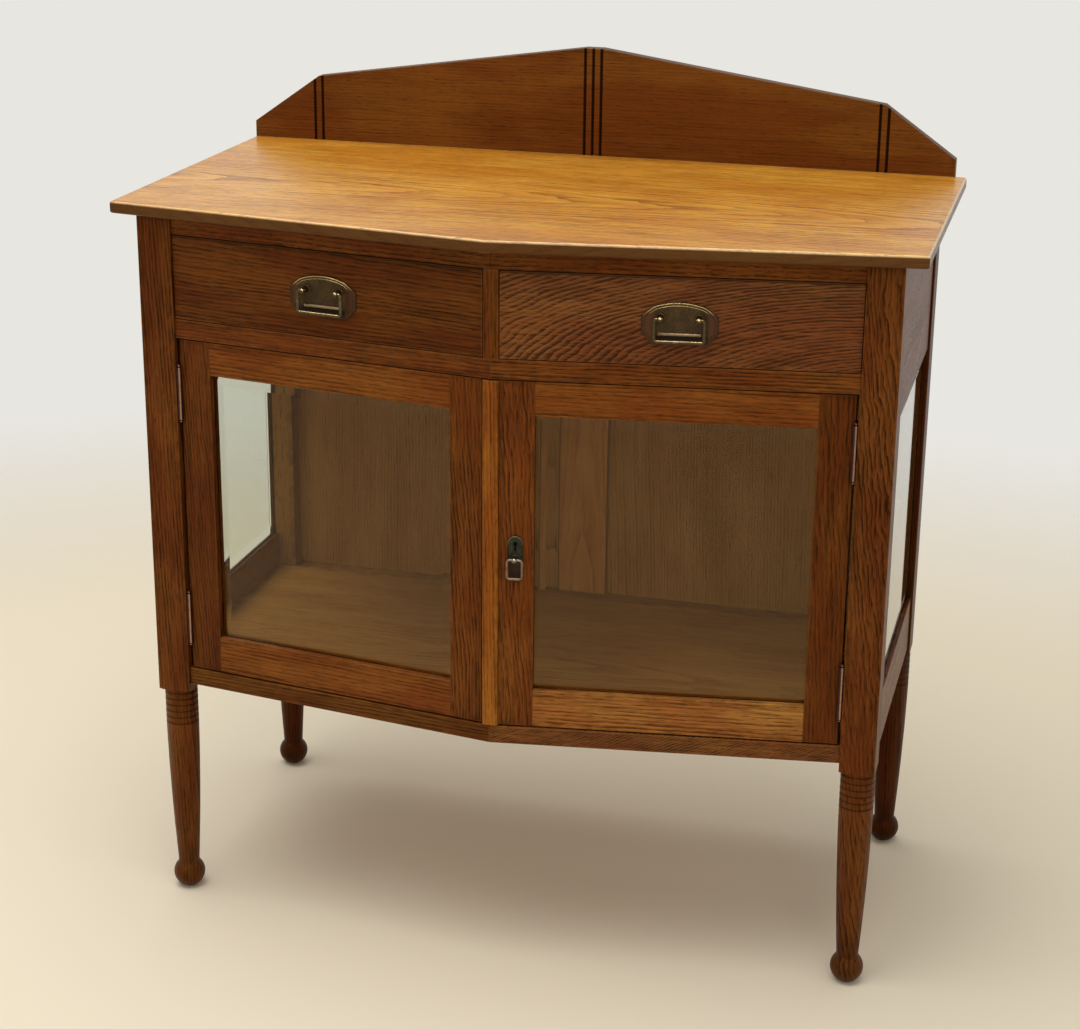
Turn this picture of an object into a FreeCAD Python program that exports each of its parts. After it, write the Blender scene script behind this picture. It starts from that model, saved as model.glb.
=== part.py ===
"""Glazed oak chiffonier with a canted front: carcass, two drawers, two glazed doors and brass pulls.

Frame: +X to the right, -Y towards the front, +Z up, millimetres.
The origin is under the middle of the whole piece, on the floor.
"""
import FreeCAD, Part
import math
import os
import re

import Sketcher

os.makedirs("parts", exist_ok=True)

# Driving dimensions, in millimetres
SIZES = {
    # frame of the carcass
    "leg_spacing_x": 864,
    "leg_spacing_y": 378,
    "post_width": 42,
    "post_arris": 1.5,
    "top_thick": 15,
    "top_edge_round": 3.5,
    "overhang_side": 26,
    "overhang_front": 28,
    "overhang_back": 22,
    "front_bow": 60,
    "rail_setback": 4,
    "board_arris": 0.8,
    "cut_overrun": 5,
    # turned leg
    "foot_radius": 20.2,
    "foot_flat_radius": 6,
    "neck_radius": 13.2,
    "taper_swell": 1.3,
    "ring_radius": 20.6,
    "ring_pitch": 8.4,
    "ring_depth": 1.3,
    "ring_width": 3.4,
    "ring_inset": 5.5,
    "tongue_drop": 3,
    "tongue_height": 7.5,
    "tongue_round": 12,
    # front rails, from the bottom up
    "base_bottom": 296,
    "base_height": 22,
    "door_opening": 430,
    "middle_height": 23.5,
    "drawer_opening": 103.5,
    "top_rail_height": 24,
    "rail_depth": 34,
    "tenon_length": 20,
    "tenon_thick": 10,
    "tenon_shoulder": 4,
    "divider_width": 18,
    # sides and back
    "side_setback": 3,
    "side_thick": 14,
    "side_bottom_height": 70,
    "side_middle_height": 62,
    "side_middle_drop": 3.5,
    "tongue_thick": 6,
    "tongue_length": 12,
    "tongue_shoulder": 6,
    "glass_thick": 4.6,
    "glass_bevel_depth": 2.6,
    "glass_bevel_width": 22,
    "glass_groove": 6,
    "glass_clearance": 0.3,
    "back_rail_thick": 20,
    "back_panel_thick": 8,
    "back_panel_offset": 2,
    "back_panel_groove": 6,
    "muntin_width": 68,
    "muntin_lap": 7,
    "muntin_proud": 5,
    "muntin_back_proud": 3,
    # decks and strips inside
    "floor_thick": 12,
    "dust_thick": 12,
    "bearer_width": 14,
    "bearer_height": 14,
    "guide_height": 16,
    "kicker_reach": 12,
    "kicker_clearance": 1,
    # gallery board behind the top
    "gallery_thick": 18,
    "gallery_half_width": 471,
    "gallery_shift": -7,
    "gallery_end_height": 21,
    "gallery_break_height": 85.5,
    "gallery_peak_height": 139,
    "gallery_break_x": 379,
    "gallery_flat_half": 11.5,
    "gallery_round": 1.2,
    "groove_pitch": 10.8,
    "groove_width": 4.4,
    "groove_depth": 2.4,
    "screw_radius": 2,
    "screw_head_radius": 4,
    "screw_head_depth": 3,
    "screw_length": 42,
    # drawers
    "drawer_gap": 0.9,
    "drawer_front_thick": 20,
    "drawer_side_thick": 9,
    "drawer_side_inset": 0.6,
    "drawer_side_height": 88,
    "drawer_back_thick": 8,
    "drawer_back_drop": 6,
    "drawer_bottom_thick": 6,
    "drawer_bottom_lift": 9,
    "drawer_bottom_groove": 4,
    "drawer_back_room": 14,
    "run_clearance": 0.3,
    # drawer pulls
    "pull_foot_half": 31,
    "pull_foot_clip": 13,
    "pull_half_width": 43,
    "pull_side_height": 20,
    "pull_clip_height": 10.5,
    "pull_arch_half": 29.5,
    "pull_arch_rise": 5.5,
    "pull_below_axis": 31,
    "pull_plate_thick": 1.8,
    "pull_plate_round": 0.6,
    "pull_axis_lift": 4.7,
    "post_offset": 21.5,
    "post_radius": 3.2,
    "post_reach": 9,
    "post_head_round": 1.5,
    "bail_end_gap": 0.3,
    "bail_drop": 25.5,
    "bail_radius": 2.1,
    "bail_bend": 3,
    "pin_play": 0.06,
    # doors
    "door_gap": 1.6,
    "door_setback": 2,
    "door_thick": 20,
    "door_stile": 41,
    "door_top_rail": 41,
    "door_bottom_rail": 46,
    "rebate_width": 9,
    "rebate_depth": 12,
    "door_tenon_length": 28,
    "door_tenon_thick": 7,
    "door_tenon_shoulder": 6,
    "bead_width": 19,
    "bead_proud": 5,
    "bead_round": 3,
    # butt hinges
    "hinge_length": 66,
    "hinge_inset": 34,
    "leaf_thick": 0.9,
    "leaf_width": 16,
    "leaf_clearance": 2,
    "knuckle_radius": 3,
    "knuckle_gap": 0.3,
    "hinge_pin_radius": 1.5,
    "hinge_pin_proud": 3.3,
    "hinge_pin_inset": 3.5,
    # drop ring pull of the right door
    "drop_place_x": 29,
    "drop_rise": 215,
    "drop_plate_half": 9.2,
    "drop_plate_above": 27.5,
    "drop_plate_below": 29.5,
    "drop_foot_half": 7.4,
    "drop_waist": 4,
    "drop_waist_run": 4,
    "drop_post_radius": 2.8,
    "drop_post_reach": 7,
    "ring_half_width": 8.8,
    "ring_height": 23.4,
    "ring_wire_radius": 1.6,
    "ring_bend": 3.5,
    "keyhole_radius": 2.6,
    "keyhole_slot_width": 2.4,
    "keyhole_slot_height": 9,
    "keyhole_rise": 18,
}

# Counts and shares
RING_COUNT = 6
SCREW_PLACE_SHARES = (-0.75, -0.25, 0.25, 0.75)

# Places and sizes that follow from the driving dimensions
FORMULAS = {
    "leg_x": "leg_spacing_x / 2",
    "leg_front": "(front_bow + overhang_front - rail_setback"
                 " - leg_spacing_y - overhang_back - gallery_thick) / 2",
    "leg_back": "leg_front + leg_spacing_y",
    "half_post": "post_width / 2",
    "span": "leg_x - half_post",
    "outer": "leg_x + half_post",
    "slope": "front_bow / span",
    "lean": "atan(slope)",
    "stretch": "sqrt(1 + slope * slope)",
    "face_end": "leg_front - half_post + rail_setback",
    "face_mid": "face_end - front_bow",
    "top_half": "outer + overhang_side",
    "top_front": "face_mid - overhang_front",
    "top_back": "leg_back + half_post + overhang_back",
    "top_under": "drawer_top + top_rail_height",
    "top_height": "top_under + top_thick",
    "base_top": "base_bottom + base_height",
    "middle_bottom": "base_top + door_opening",
    "middle_top": "middle_bottom + middle_height",
    "drawer_top": "middle_top + drawer_opening",
    "post_behind": "leg_front + half_post",
    "post_before": "leg_back - half_post",
    "side_out": "outer - side_setback",
    "side_in": "side_out - side_thick",
    "side_mid": "side_out - side_thick / 2",
    "side_glass_low": "base_bottom + side_bottom_height",
    "side_middle_top": "middle_top - side_middle_drop",
    "side_glass_high": "side_middle_top - side_middle_height",
    "panel_front": "leg_back + back_panel_offset",
    "muntin_front": "panel_front - muntin_proud",
    "floor_under": "base_top - floor_thick",
    "dust_under": "middle_top - dust_thick",
    "foot_centre": "sqrt(foot_radius ^ 2 - foot_flat_radius ^ 2)",
    "neck_height": "foot_centre + sqrt(foot_radius ^ 2 - neck_radius ^ 2)",
    "corner_radius": "half_post * sqrt(2) + cut_overrun",
    "tongue_top": "base_bottom - tongue_drop",
    "tongue_bottom": "tongue_top - tongue_height",
    "drawer_in": "divider_width / 2 + drawer_gap",
    "drawer_out": "span - drawer_gap",
    "drawer_low": "middle_top + run_clearance",
    "drawer_side_top": "drawer_low + drawer_side_height",
    "kicker_low": "drawer_side_top + kicker_clearance",
    "drawer_back": "panel_front - drawer_back_room",
    "pull_along": "(drawer_in + drawer_out) / 2 * stretch",
    "pull_height": "(middle_top + drawer_top) / 2 + pull_axis_lift",
    "pull_depth": "-(pull_plate_thick + post_reach)",
    "bail_half": "post_offset + post_radius + bail_end_gap + bail_bend",
    "hinge_gap": "2 * leaf_thick + leaf_clearance",
    "door_low": "base_top + door_gap",
    "door_high": "middle_bottom - door_gap",
    "door_back": "door_setback + door_thick",
    "door_edge": "span - hinge_gap",
    "sight_low": "door_low + door_bottom_rail",
    "sight_high": "door_high - door_top_rail",
    "sight_out": "door_edge * stretch + door_setback * slope - door_stile",
    "glass_face": "door_back - rebate_depth",
    "bead_half": "bead_width / 2",
    "pin_x": "span - hinge_pin_inset",
    "pin_y": "face_mid + slope * pin_x + (door_setback - hinge_pin_proud) * stretch",
    "edge_y": "face_mid + slope * door_edge + door_setback * stretch",
    "drop_axis_height": "base_top + drop_rise",
    "drop_along": "drop_place_x * stretch + door_setback * slope",
    "drop_depth": "door_setback - pull_plate_thick - drop_post_reach",
}

WORD = re.compile(r"[a-z][a-z_]*")


def bind(formula):
    """Spell a formula in sheet cells, with every worked-out name replaced by its own formula."""
    def spell(match):
        name = match.group(0)
        if name in FORMULAS:
            return f"({bind(FORMULAS[name])})"
        return f"Sizes.{name}" if name in SIZES else name
    return WORD.sub(spell, formula)


doc = FreeCAD.newDocument("Chiffonier")
sheet = doc.addObject("Spreadsheet::Sheet", "Sizes")
for row, (alias, size) in enumerate(SIZES.items(), start=1):
    sheet.set(f"A{row}", alias)
    sheet.set(f"B{row}", str(size))
    sheet.setAlias(f"B{row}", alias)
doc.recompute()

nodes = []


def number(formula):
    """The value of a formula at the sheet's present sizes."""
    result = sheet.evalExpression(bind(formula))
    return float(getattr(result, "Value", result))


def sided(side, low, high):
    """A stretch along X on the right side, or its mirror image on the left."""
    if side > 0:
        return low, high
    return f"-({high})", f"-({low})"


def new_body(label, place=None, turn=None):
    """An empty body, set at a place and turned about the upright axis."""
    body = doc.addObject("PartDesign::Body", label)
    body.Label = label
    if place:
        x, y, z = place
        spin = turn or "0"
        body.setExpression(
            "Placement",
            bind(f"placement(vector({x}; {y}; {z}); rotation(vector(0; 0; 1); {spin}))"),
        )
    return body


def facet_body(label, side):
    """A body whose local X runs along one canted half of the front and whose local Y points inwards."""
    return new_body(label, ("0", "face_mid", "0"), f"{side} * lean")


def keep(item):
    """List a sub-part for writing."""
    nodes.append(item)
    return item


def group(label, bodies):
    """One sub-part of several separate solids."""
    compound = doc.addObject("Part::Compound", label)
    compound.Label = label
    compound.Links = bodies
    return keep(compound)


def block(body, x, y, z, cut=False):
    """Add a box to a body, or cut one out of it, from the low and high formula along each axis."""
    kind = "PartDesign::SubtractiveBox" if cut else "PartDesign::AdditiveBox"
    box = body.newObject(kind, f"{body.Name}_{'cut' if cut else 'block'}")
    for size, axis, (low, high) in (("Length", "x", x), ("Width", "y", y), ("Height", "z", z)):
        box.setExpression(size, bind(f"({high}) - ({low})"))
        box.setExpression(f"Placement.Base.{axis}", bind(low))
    return box


TURNS = {"x": FreeCAD.Rotation(FreeCAD.Vector(0, 1, 0), 90),
         "y": FreeCAD.Rotation(FreeCAD.Vector(1, 0, 0), 90),
         "z": FreeCAD.Rotation()}


def rod(body, radius, length, start, axis="z", cut=False):
    """Add or cut a cylinder that runs from its start along +X, -Y or +Z."""
    kind = "PartDesign::SubtractiveCylinder" if cut else "PartDesign::AdditiveCylinder"
    cylinder = body.newObject(kind, f"{body.Name}_{'bore' if cut else 'rod'}")
    cylinder.Placement = FreeCAD.Placement(FreeCAD.Vector(), TURNS[axis])
    cylinder.setExpression("Radius", bind(radius))
    cylinder.setExpression("Height", bind(length))
    for name, formula in zip("xyz", start):
        cylinder.setExpression(f"Placement.Base.{name}", bind(formula))
    return cylinder


def origin_plane(body, role):
    """One of the body's own origin planes."""
    return next(feature for feature in body.Origin.OriginFeatures if feature.Role == role)


def arc_between(start, end, radius, way):
    """The shorter arc from start to end; way is 1 where it turns left and -1 where it turns right."""
    chord = end - start
    half = chord.Length / 2
    normal = FreeCAD.Vector(-chord.y, chord.x, 0).normalize()
    centre = (start + end) * 0.5 + normal * (way * math.sqrt(max(radius ** 2 - half ** 2, 0)))
    angles = [math.atan2(p.y - centre.y, p.x - centre.x) for p in (start, end)]
    circle = Part.Circle(centre, FreeCAD.Vector(0, 0, 1), radius)
    return Part.ArcOfCircle(circle, *(angles if way > 0 else reversed(angles)))


def outline(body, role, loops, rounds=None, lift=None, closed=True):
    """A sketch of closed loops, or one open run: each corner is held by its two distances from the origin.

    rounds gives, for a stretch of the first loop, the radius and the way that its arc turns.
    """
    rounds = rounds or {}
    sketch = body.newObject("Sketcher::SketchObject", f"{body.Name}_outline")
    sketch.AttachmentSupport = [(origin_plane(body, role), "")]
    sketch.MapMode = "FlatFace"
    if lift:
        sketch.setExpression("AttachmentOffset.Base.z", bind(lift))
    for loop_index, loop in enumerate(loops):
        first = sketch.GeometryCount
        places = [FreeCAD.Vector(number(u), number(v), 0) for u, v in loop]
        count = len(loop) if closed else len(loop) - 1
        ends = []
        for index in range(count):
            start = places[index]
            end = places[(index + 1) % len(loop)]
            bend = rounds.get(index) if loop_index == 0 else None
            if bend is None:
                sketch.addGeometry(Part.LineSegment(start, end))
                ends.append((1, 2))
                continue
            radius, way = bend
            arc = sketch.addGeometry(arc_between(start, end, number(radius), way))
            held = sketch.addConstraint(Sketcher.Constraint("Radius", arc, number(radius)))
            sketch.setExpression(f"Constraints[{held}]", bind(radius))
            ends.append((1, 2) if way > 0 else (2, 1))
        corners = [(first + index, ends[index][0]) for index in range(count)]
        if not closed:
            corners.append((first + count - 1, ends[-1][1]))
        for index in range(count if closed else count - 1):
            after = (index + 1) % count
            join = (first + index, ends[index][1], first + after, ends[after][0])
            sketch.addConstraint(Sketcher.Constraint("Coincident", *join))
        for (line, end), (u, v), place in zip(corners, loop, places):
            for kind, axis, formula, size in (("DistanceX", -2, u, place.x), ("DistanceY", -1, v, place.y)):
                if formula == "0":
                    sketch.addConstraint(Sketcher.Constraint("PointOnObject", line, end, axis))
                    continue
                held = sketch.addConstraint(Sketcher.Constraint(kind, -1, 1, line, end, size))
                sketch.setExpression(f"Constraints[{held}]", bind(formula))
    return sketch


def pad(body, sketch, length, reverse=False):
    """Raise a sketch into a solid."""
    feature = body.newObject("PartDesign::Pad", f"{body.Name}_pad")
    feature.Profile = sketch
    feature.setExpression("Length", bind(length))
    feature.Reversed = reverse
    return feature


def through_cut(body, sketch, reverse):
    """Cut a sketch through the whole body, and make sure that it removed something."""
    doc.recompute()
    before = body.Shape.Volume
    feature = body.newObject("PartDesign::Pocket", f"{body.Name}_pocket")
    feature.Profile = sketch
    feature.Type = "ThroughAll"
    feature.Reversed = reverse
    doc.recompute()
    if not body.Shape.Volume < before:
        raise RuntimeError(f"{body.Label}: the cut removed nothing")
    return feature


def soften(body, radius, test=None):
    """Round the edges that pass the test, or all of them."""
    doc.recompute()
    base = body.Tip
    names = [""]
    if test:
        names = [f"Edge{i}" for i, edge in enumerate(base.Shape.Edges, start=1) if test(edge)]
    feature = body.newObject("PartDesign::Fillet", f"{body.Name}_arris")
    feature.Base = (base, names)
    feature.UseAllEdges = test is None
    feature.setExpression("Radius", bind(radius))
    return feature


def direction(edge):
    """Unit vector from an edge's first end to its last."""
    ends = edge.Vertexes
    run = ends[-1].Point - ends[0].Point
    return run.normalize() if run.Length else run


def upright(edge):
    """Whether a straight edge stands upright."""
    return abs(direction(edge).z) > 0.999


def prism(label, points, low, high, arris=None, body=None):
    """A board of constant outline in plan, between two heights."""
    body = body or new_body(label)
    pad(body, outline(body, "XY_Plane", [points], lift=low), f"({high}) - ({low})")
    if arris:
        soften(body, arris)
    return body


def front_at(x):
    """Where the canted front face stands at a distance from the centre line."""
    return f"face_mid + slope * ({x})"


def along(x, depth):
    """Distance along the canted front of a plane that stands square to X, at a depth behind the face."""
    return f"({x}) * stretch + ({depth}) * slope"


def mirrored(side, points):
    """Plan points on the right side, or their mirror image on the left."""
    if side > 0:
        return points
    return [(x if x == "0" else f"-({x})", y) for x, y in points]


def leg_rails(front):
    """Heights of the rails that are tenoned into a leg across the front or the back."""
    if front:
        return [("base_bottom", "base_top"), ("middle_bottom", "middle_top"), ("drawer_top", "top_under")]
    return [("base_bottom", "base_top"), ("kicker_low", "top_under")]


SIDE_BOARDS = [
    ("bottom_rail", "base_bottom", "side_glass_low"),
    ("middle_rail", "side_glass_high", "side_middle_top"),
    ("panel", "side_middle_top", "top_under"),
]


def make_leg(label, side, front):
    """Square post above, reeded and tapered leg with a ball foot below, mortised for its rails."""
    y = "leg_front" if front else "leg_back"
    body = new_body(label, (f"{side} * leg_x", y, "0"))
    rings = [f"tongue_bottom - ring_inset - {i} * ring_pitch" for i in reversed(range(RING_COUNT))]
    profile = [("0", "0"), ("foot_flat_radius", "0"), ("neck_radius", "neck_height")]
    for ring in rings:
        profile.append(("ring_radius", f"{ring} - ring_width / 2"))
        profile.append(("ring_radius - ring_depth", ring))
        profile.append(("ring_radius", f"{ring} + ring_width / 2"))
    profile.append(("ring_radius", "tongue_bottom"))
    profile.append(("corner_radius", "tongue_top"))
    profile.append(("corner_radius", "top_under"))
    profile.append(("0", "top_under"))
    taper_run = f"({rings[0]} - ring_width / 2 - neck_height)"
    taper_chord = f"({taper_run} ^ 2 + (ring_radius - neck_radius) ^ 2)"
    swell_radius = f"({taper_chord} / 4 + taper_swell ^ 2) / (2 * taper_swell)"
    tongue = len(profile) - 4
    rounds = {1: ("foot_radius", 1), 2: (swell_radius, 1), tongue: ("tongue_round", 1)}
    turned = outline(body, "XZ_Plane", [profile], rounds)
    revolution = body.newObject("PartDesign::Revolution", f"{label}_turned")
    revolution.Profile = turned
    revolution.ReferenceAxis = (turned, ["V_Axis"])
    waste = "(corner_radius + cut_overrun)"
    squares = [[(f"-{half}", f"-{half}"), (half, f"-{half}"), (half, half), (f"-{half}", half)]
               for half in (waste, "half_post")]
    through_cut(body, outline(body, "XY_Plane", squares), reverse=True)
    soften(body, "post_arris", upright)
    inwards = -side
    deep = sided(inwards, "half_post - tenon_length", "half_post + cut_overrun")
    middle = "0" if front else "back_panel_offset - back_rail_thick / 2"
    for low, high in leg_rails(front):
        width = (f"{middle} - tenon_thick / 2", f"{middle} + tenon_thick / 2")
        block(body, deep, width, (f"{low} + tenon_shoulder", f"{high} - tenon_shoulder"), cut=True)
    inside = sided(1 if front else -1, "half_post - tongue_length", "half_post + cut_overrun")
    thick = sided(side, "side_mid - leg_x - tongue_thick / 2", "side_mid - leg_x + tongue_thick / 2")
    for _, low, high in SIDE_BOARDS:
        block(body, thick, inside, (f"{low} + tongue_shoulder", f"{high} - tongue_shoulder"), cut=True)
    slot = "(glass_thick / 2 + glass_clearance)"
    pane = sided(side, f"side_mid - leg_x - {slot}", f"side_mid - leg_x + {slot}")
    seat = sided(1 if front else -1, "half_post - glass_groove", "half_post + cut_overrun")
    block(body, pane, seat, ("side_glass_low - glass_groove", "side_glass_high + glass_groove"), cut=True)
    if not front:
        groove = sided(inwards, "half_post - back_panel_groove", "half_post + cut_overrun")
        behind = ("back_panel_offset", "back_panel_offset + back_panel_thick")
        block(body, groove, behind, ("base_bottom", "top_under + cut_overrun"), cut=True)
    return keep(body)


def make_front_rail(label, side, low, high):
    """Half of a front rail: canted face, mitred at the centre and tenoned into the post."""
    points = [("0", "face_mid"), ("span", "face_end"),
              ("span", "face_end + rail_depth"), ("0", "face_mid + rail_depth")]
    body = prism(label, mirrored(side, points), low, high, "board_arris")
    block(body, sided(side, "span - board_arris", "span + tenon_length"),
          ("leg_front - tenon_thick / 2", "leg_front + tenon_thick / 2"),
          (f"{low} + tenon_shoulder", f"{high} - tenon_shoulder"))
    return body


def make_back_rail(label, low, high):
    """Straight rail between the back posts, with a tenon at each end."""
    body = new_body(label)
    middle = "panel_front - back_rail_thick / 2"
    block(body, ("-span", "span"), ("panel_front - back_rail_thick", "panel_front"), (low, high))
    block(body, ("-span - tenon_length", "span + tenon_length"),
          (f"{middle} - tenon_thick / 2", f"{middle} + tenon_thick / 2"),
          (f"{low} + tenon_shoulder", f"{high} - tenon_shoulder"))
    return keep(body)


def make_side_board(label, side, low, high, glass_below, glass_above):
    """Rail or panel between the posts of one side, tongued into both and grooved for the glass."""
    body = new_body(label)
    block(body, sided(side, "side_in", "side_out"), ("post_behind", "post_before"), (low, high))
    soften(body, "board_arris")
    thick = sided(side, "side_mid - tongue_thick / 2", "side_mid + tongue_thick / 2")
    block(body, thick, ("post_behind - tongue_length", "post_before + tongue_length"),
          (f"{low} + tongue_shoulder", f"{high} - tongue_shoulder"))
    slot = "(glass_thick / 2 + glass_clearance)"
    pane = sided(side, f"side_mid - {slot}", f"side_mid + {slot}")
    reach = ("post_behind - glass_groove", "post_before + glass_groove")
    if glass_above:
        block(body, pane, reach, (f"{high} - glass_groove", f"{high} + cut_overrun"), cut=True)
    if glass_below:
        block(body, pane, reach, (f"{low} - cut_overrun", f"{low} + glass_groove"), cut=True)
    return keep(body)


def bevelled_glass(body, across, depth, height):
    """A plate with a broad bevel round the face that looks along -Y.

    across and height are low and high formulas of the edges, depth those of the two faces.
    """
    thin = f"({depth[0]}) + glass_bevel_depth"
    wedge = body.newObject("PartDesign::AdditiveWedge", f"{body.Name}_bevel")
    faces = {"Ymin": depth[0], "Ymax": thin}
    for axis, (low, high) in (("X", across), ("Z", height)):
        faces[f"{axis}min"] = f"({low}) + glass_bevel_width"
        faces[f"{axis}max"] = f"({high}) - glass_bevel_width"
        faces[f"{axis}2min"] = low
        faces[f"{axis}2max"] = high
    for name, formula in faces.items():
        wedge.setExpression(name, bind(formula))
    block(body, across, (thin, depth[1]), height)
    return body


def make_side_glass(label, side):
    """Bevelled pane in the grooves of one side."""
    body = new_body(label, (f"{side} * side_mid", "0", "0"), f"{side} * 90")
    edge = "glass_groove - glass_clearance"
    run = (f"post_behind - ({edge})", f"post_before + {edge}")
    if side < 0:
        run = (f"-(post_before + {edge})", f"-(post_behind - ({edge}))")
    height = (f"side_glass_low - ({edge})", f"side_glass_high + {edge}")
    bevelled_glass(body, run, ("-glass_thick / 2", "glass_thick / 2"), height)
    return keep(body)


def make_top():
    """Top board: two-facet front edge, straight ends and back, rounded edges."""
    corner = "top_front + slope * top_half"
    points = [("-top_half", corner), ("0", "top_front"), ("top_half", corner),
              ("top_half", "top_back"), ("-top_half", "top_back")]
    body = prism("top_board", points, "top_under", "top_height")
    back = number("top_back")
    soften(body, "top_edge_round", lambda edge: not upright(edge) and edge.CenterOfMass.y < back)
    for share in SCREW_PLACE_SHARES:
        rod(body, "screw_radius", "screw_length - gallery_thick",
            (f"gallery_shift + {share} * gallery_half_width",
             "top_back", "top_height - top_thick / 2"), "y", cut=True)
    return keep(body)


def make_gallery():
    """Gallery board behind the top: stepped outline, with upright grooves at the breaks and the centre."""
    body = new_body("gallery_board", ("gallery_shift", "top_back", "0"))
    heights = [("gallery_half_width", "gallery_end_height"), ("gallery_break_x", "gallery_break_height"),
               ("gallery_flat_half", "gallery_peak_height")]
    right = [(x, f"top_height + {rise}") for x, rise in heights]
    left = [(f"-{x}", z) for x, z in reversed(right)]
    foot = [("-gallery_half_width", "top_under"), ("gallery_half_width", "top_under")]
    pad(body, outline(body, "XZ_Plane", [foot + right + left]), "gallery_thick", reverse=True)
    soften(body, "gallery_round")
    centres = ["-gallery_break_x - groove_pitch / 2", "-gallery_break_x + groove_pitch / 2",
               "-groove_pitch", "0", "groove_pitch",
               "gallery_break_x - groove_pitch / 2", "gallery_break_x + groove_pitch / 2"]
    grooves = []
    for x in centres:
        near = f"{x} - groove_width / 2"
        far = f"{x} + groove_width / 2"
        mouth = [(near, "-cut_overrun"), (far, "-cut_overrun"), (far, "0")]
        grooves.append(mouth + [(x, "groove_depth"), (near, "0")])
    through_cut(body, outline(body, "XY_Plane", grooves), reverse=True)
    for share in SCREW_PLACE_SHARES:
        place = (f"{share} * gallery_half_width", "gallery_thick", "top_height - top_thick / 2")
        rod(body, "screw_radius", "gallery_thick", place, "y", cut=True)
        rod(body, "screw_head_radius", "screw_head_depth", place, "y", cut=True)
    return keep(body)


def make_gallery_screws():
    """Screws driven from behind, through the gallery board into the back edge of the top."""
    screws = []
    for share in SCREW_PLACE_SHARES:
        body = new_body("gallery_screw", ("gallery_shift", "top_back", "0"))
        place = (f"{share} * gallery_half_width", "gallery_thick", "top_height - top_thick / 2")
        rod(body, "screw_radius", "screw_length", place, "y")
        rod(body, "screw_head_radius", "screw_head_depth", place, "y")
        screws.append(body)
    return group("gallery_screws", screws)


def make_deck(label, low, high, back):
    """Board that fills the carcass in plan as far as its back edge, notched round the posts."""
    right = [("span", "face_end + rail_depth"), ("span", "post_behind"), ("side_in", "post_behind"),
             ("side_in", "post_before"), ("span", "post_before"), ("span", back)]
    left = [(f"-{x}", y) for x, y in reversed(right)]
    return keep(prism(label, [("0", "face_mid + rail_depth")] + right + left, low, high))


def make_back():
    """Two panels in the grooves of the back posts, lapped into the upright muntin between them."""
    half = "muntin_width / 2"
    lap = f"({half} - muntin_lap)"
    depth = ("panel_front", "panel_front + back_panel_thick")
    panels = []
    for side in (-1, 1):
        across = sided(side, lap, "span + back_panel_groove")
        panels.append(make_strip("back_panel", across, depth, ("base_bottom", "top_under")))
    group("back_panels", panels)
    muntin = new_body("back_muntin")
    block(muntin, (f"-{half}", half), ("muntin_front", "panel_front"), ("base_top", "kicker_low"))
    block(muntin, (f"-{lap}", lap), ("panel_front", f"{depth[1]} + muntin_back_proud"),
          ("base_bottom", "top_under"))
    keep(muntin)


def make_strip(label, x, y, z):
    """A plain strip of wood."""
    body = new_body(label)
    block(body, x, y, z)
    return body


def make_carcass():
    """Everything that stands still: legs, rails, boards, decks and strips."""
    for place, front in (("front", True), ("back", False)):
        for name, side in (("left", -1), ("right", 1)):
            make_leg(f"{place}_{name}_leg", side, front)
    make_top()
    make_gallery()
    make_gallery_screws()
    group("top_rail", [make_front_rail(f"top_rail_{name}", side, "drawer_top", "top_under")
                       for name, side in (("left", -1), ("right", 1))])
    for name, side in (("left", -1), ("right", 1)):
        keep(make_front_rail(f"{name}_middle_rail", side, "middle_bottom", "middle_top"))
        keep(make_front_rail(f"{name}_base_rail", side, "base_bottom", "base_top"))
        for board, low, high in SIDE_BOARDS:
            make_side_board(f"{name}_side_{board}", side, low, high,
                            glass_below=board == "middle_rail", glass_above=board == "bottom_rail")
        make_side_glass(f"{name}_side_glass", side)
    half = "divider_width / 2"
    face = [(f"-{half}", front_at(half)), ("0", "face_mid"), (half, front_at(half)),
            (half, "face_mid + rail_depth"), (f"-{half}", "face_mid + rail_depth")]
    keep(prism("drawer_divider", face, "middle_top", "drawer_top"))
    make_back_rail("back_top_rail", "kicker_low", "top_under")
    make_back_rail("back_bottom_rail", "base_bottom", "base_top")
    make_back()
    make_deck("cupboard_floor", "floor_under", "base_top", "panel_front - back_rail_thick")
    make_deck("dust_board", "dust_under", "middle_top", "muntin_front")
    between = ("post_behind", "post_before")
    bearers = []
    guides = []
    for side in (-1, 1):
        for under in ("floor_under", "dust_under"):
            bearers.append(make_strip("bearer", sided(side, "side_in - bearer_width", "side_in"), between,
                                      (f"{under} - bearer_height", under)))
        guides.append(make_strip("side_guide", sided(side, "span", "side_in"), between,
                                 ("middle_top", "middle_top + guide_height")))
        guides.append(make_strip("side_kicker", sided(side, "span - kicker_reach", "side_in"), between,
                                 ("kicker_low", "top_under")))
    group("deck_bearers", bearers)
    guides.append(make_strip("middle_guide", (f"-{half}", half), ("face_mid + rail_depth", "muntin_front"),
                             ("middle_top", "middle_top + guide_height")))
    reach = f"({half} + kicker_reach)"
    guides.append(make_strip("middle_kicker", (f"-{reach}", reach),
                             (front_at(reach) + " + rail_depth", "panel_front - back_rail_thick"),
                             ("kicker_low", "top_under")))
    group("drawer_guides", guides)


def pull_frame(label, side):
    """A body set at the axis of a drawer pull, with local X along the drawer front."""
    x = f"{side} * (pull_along - pull_depth * slope) / stretch"
    y = "face_mid + (pull_along * slope + pull_depth) / stretch"
    return new_body(label, (x, y, "pull_height"), f"{side} * lean")


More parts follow.
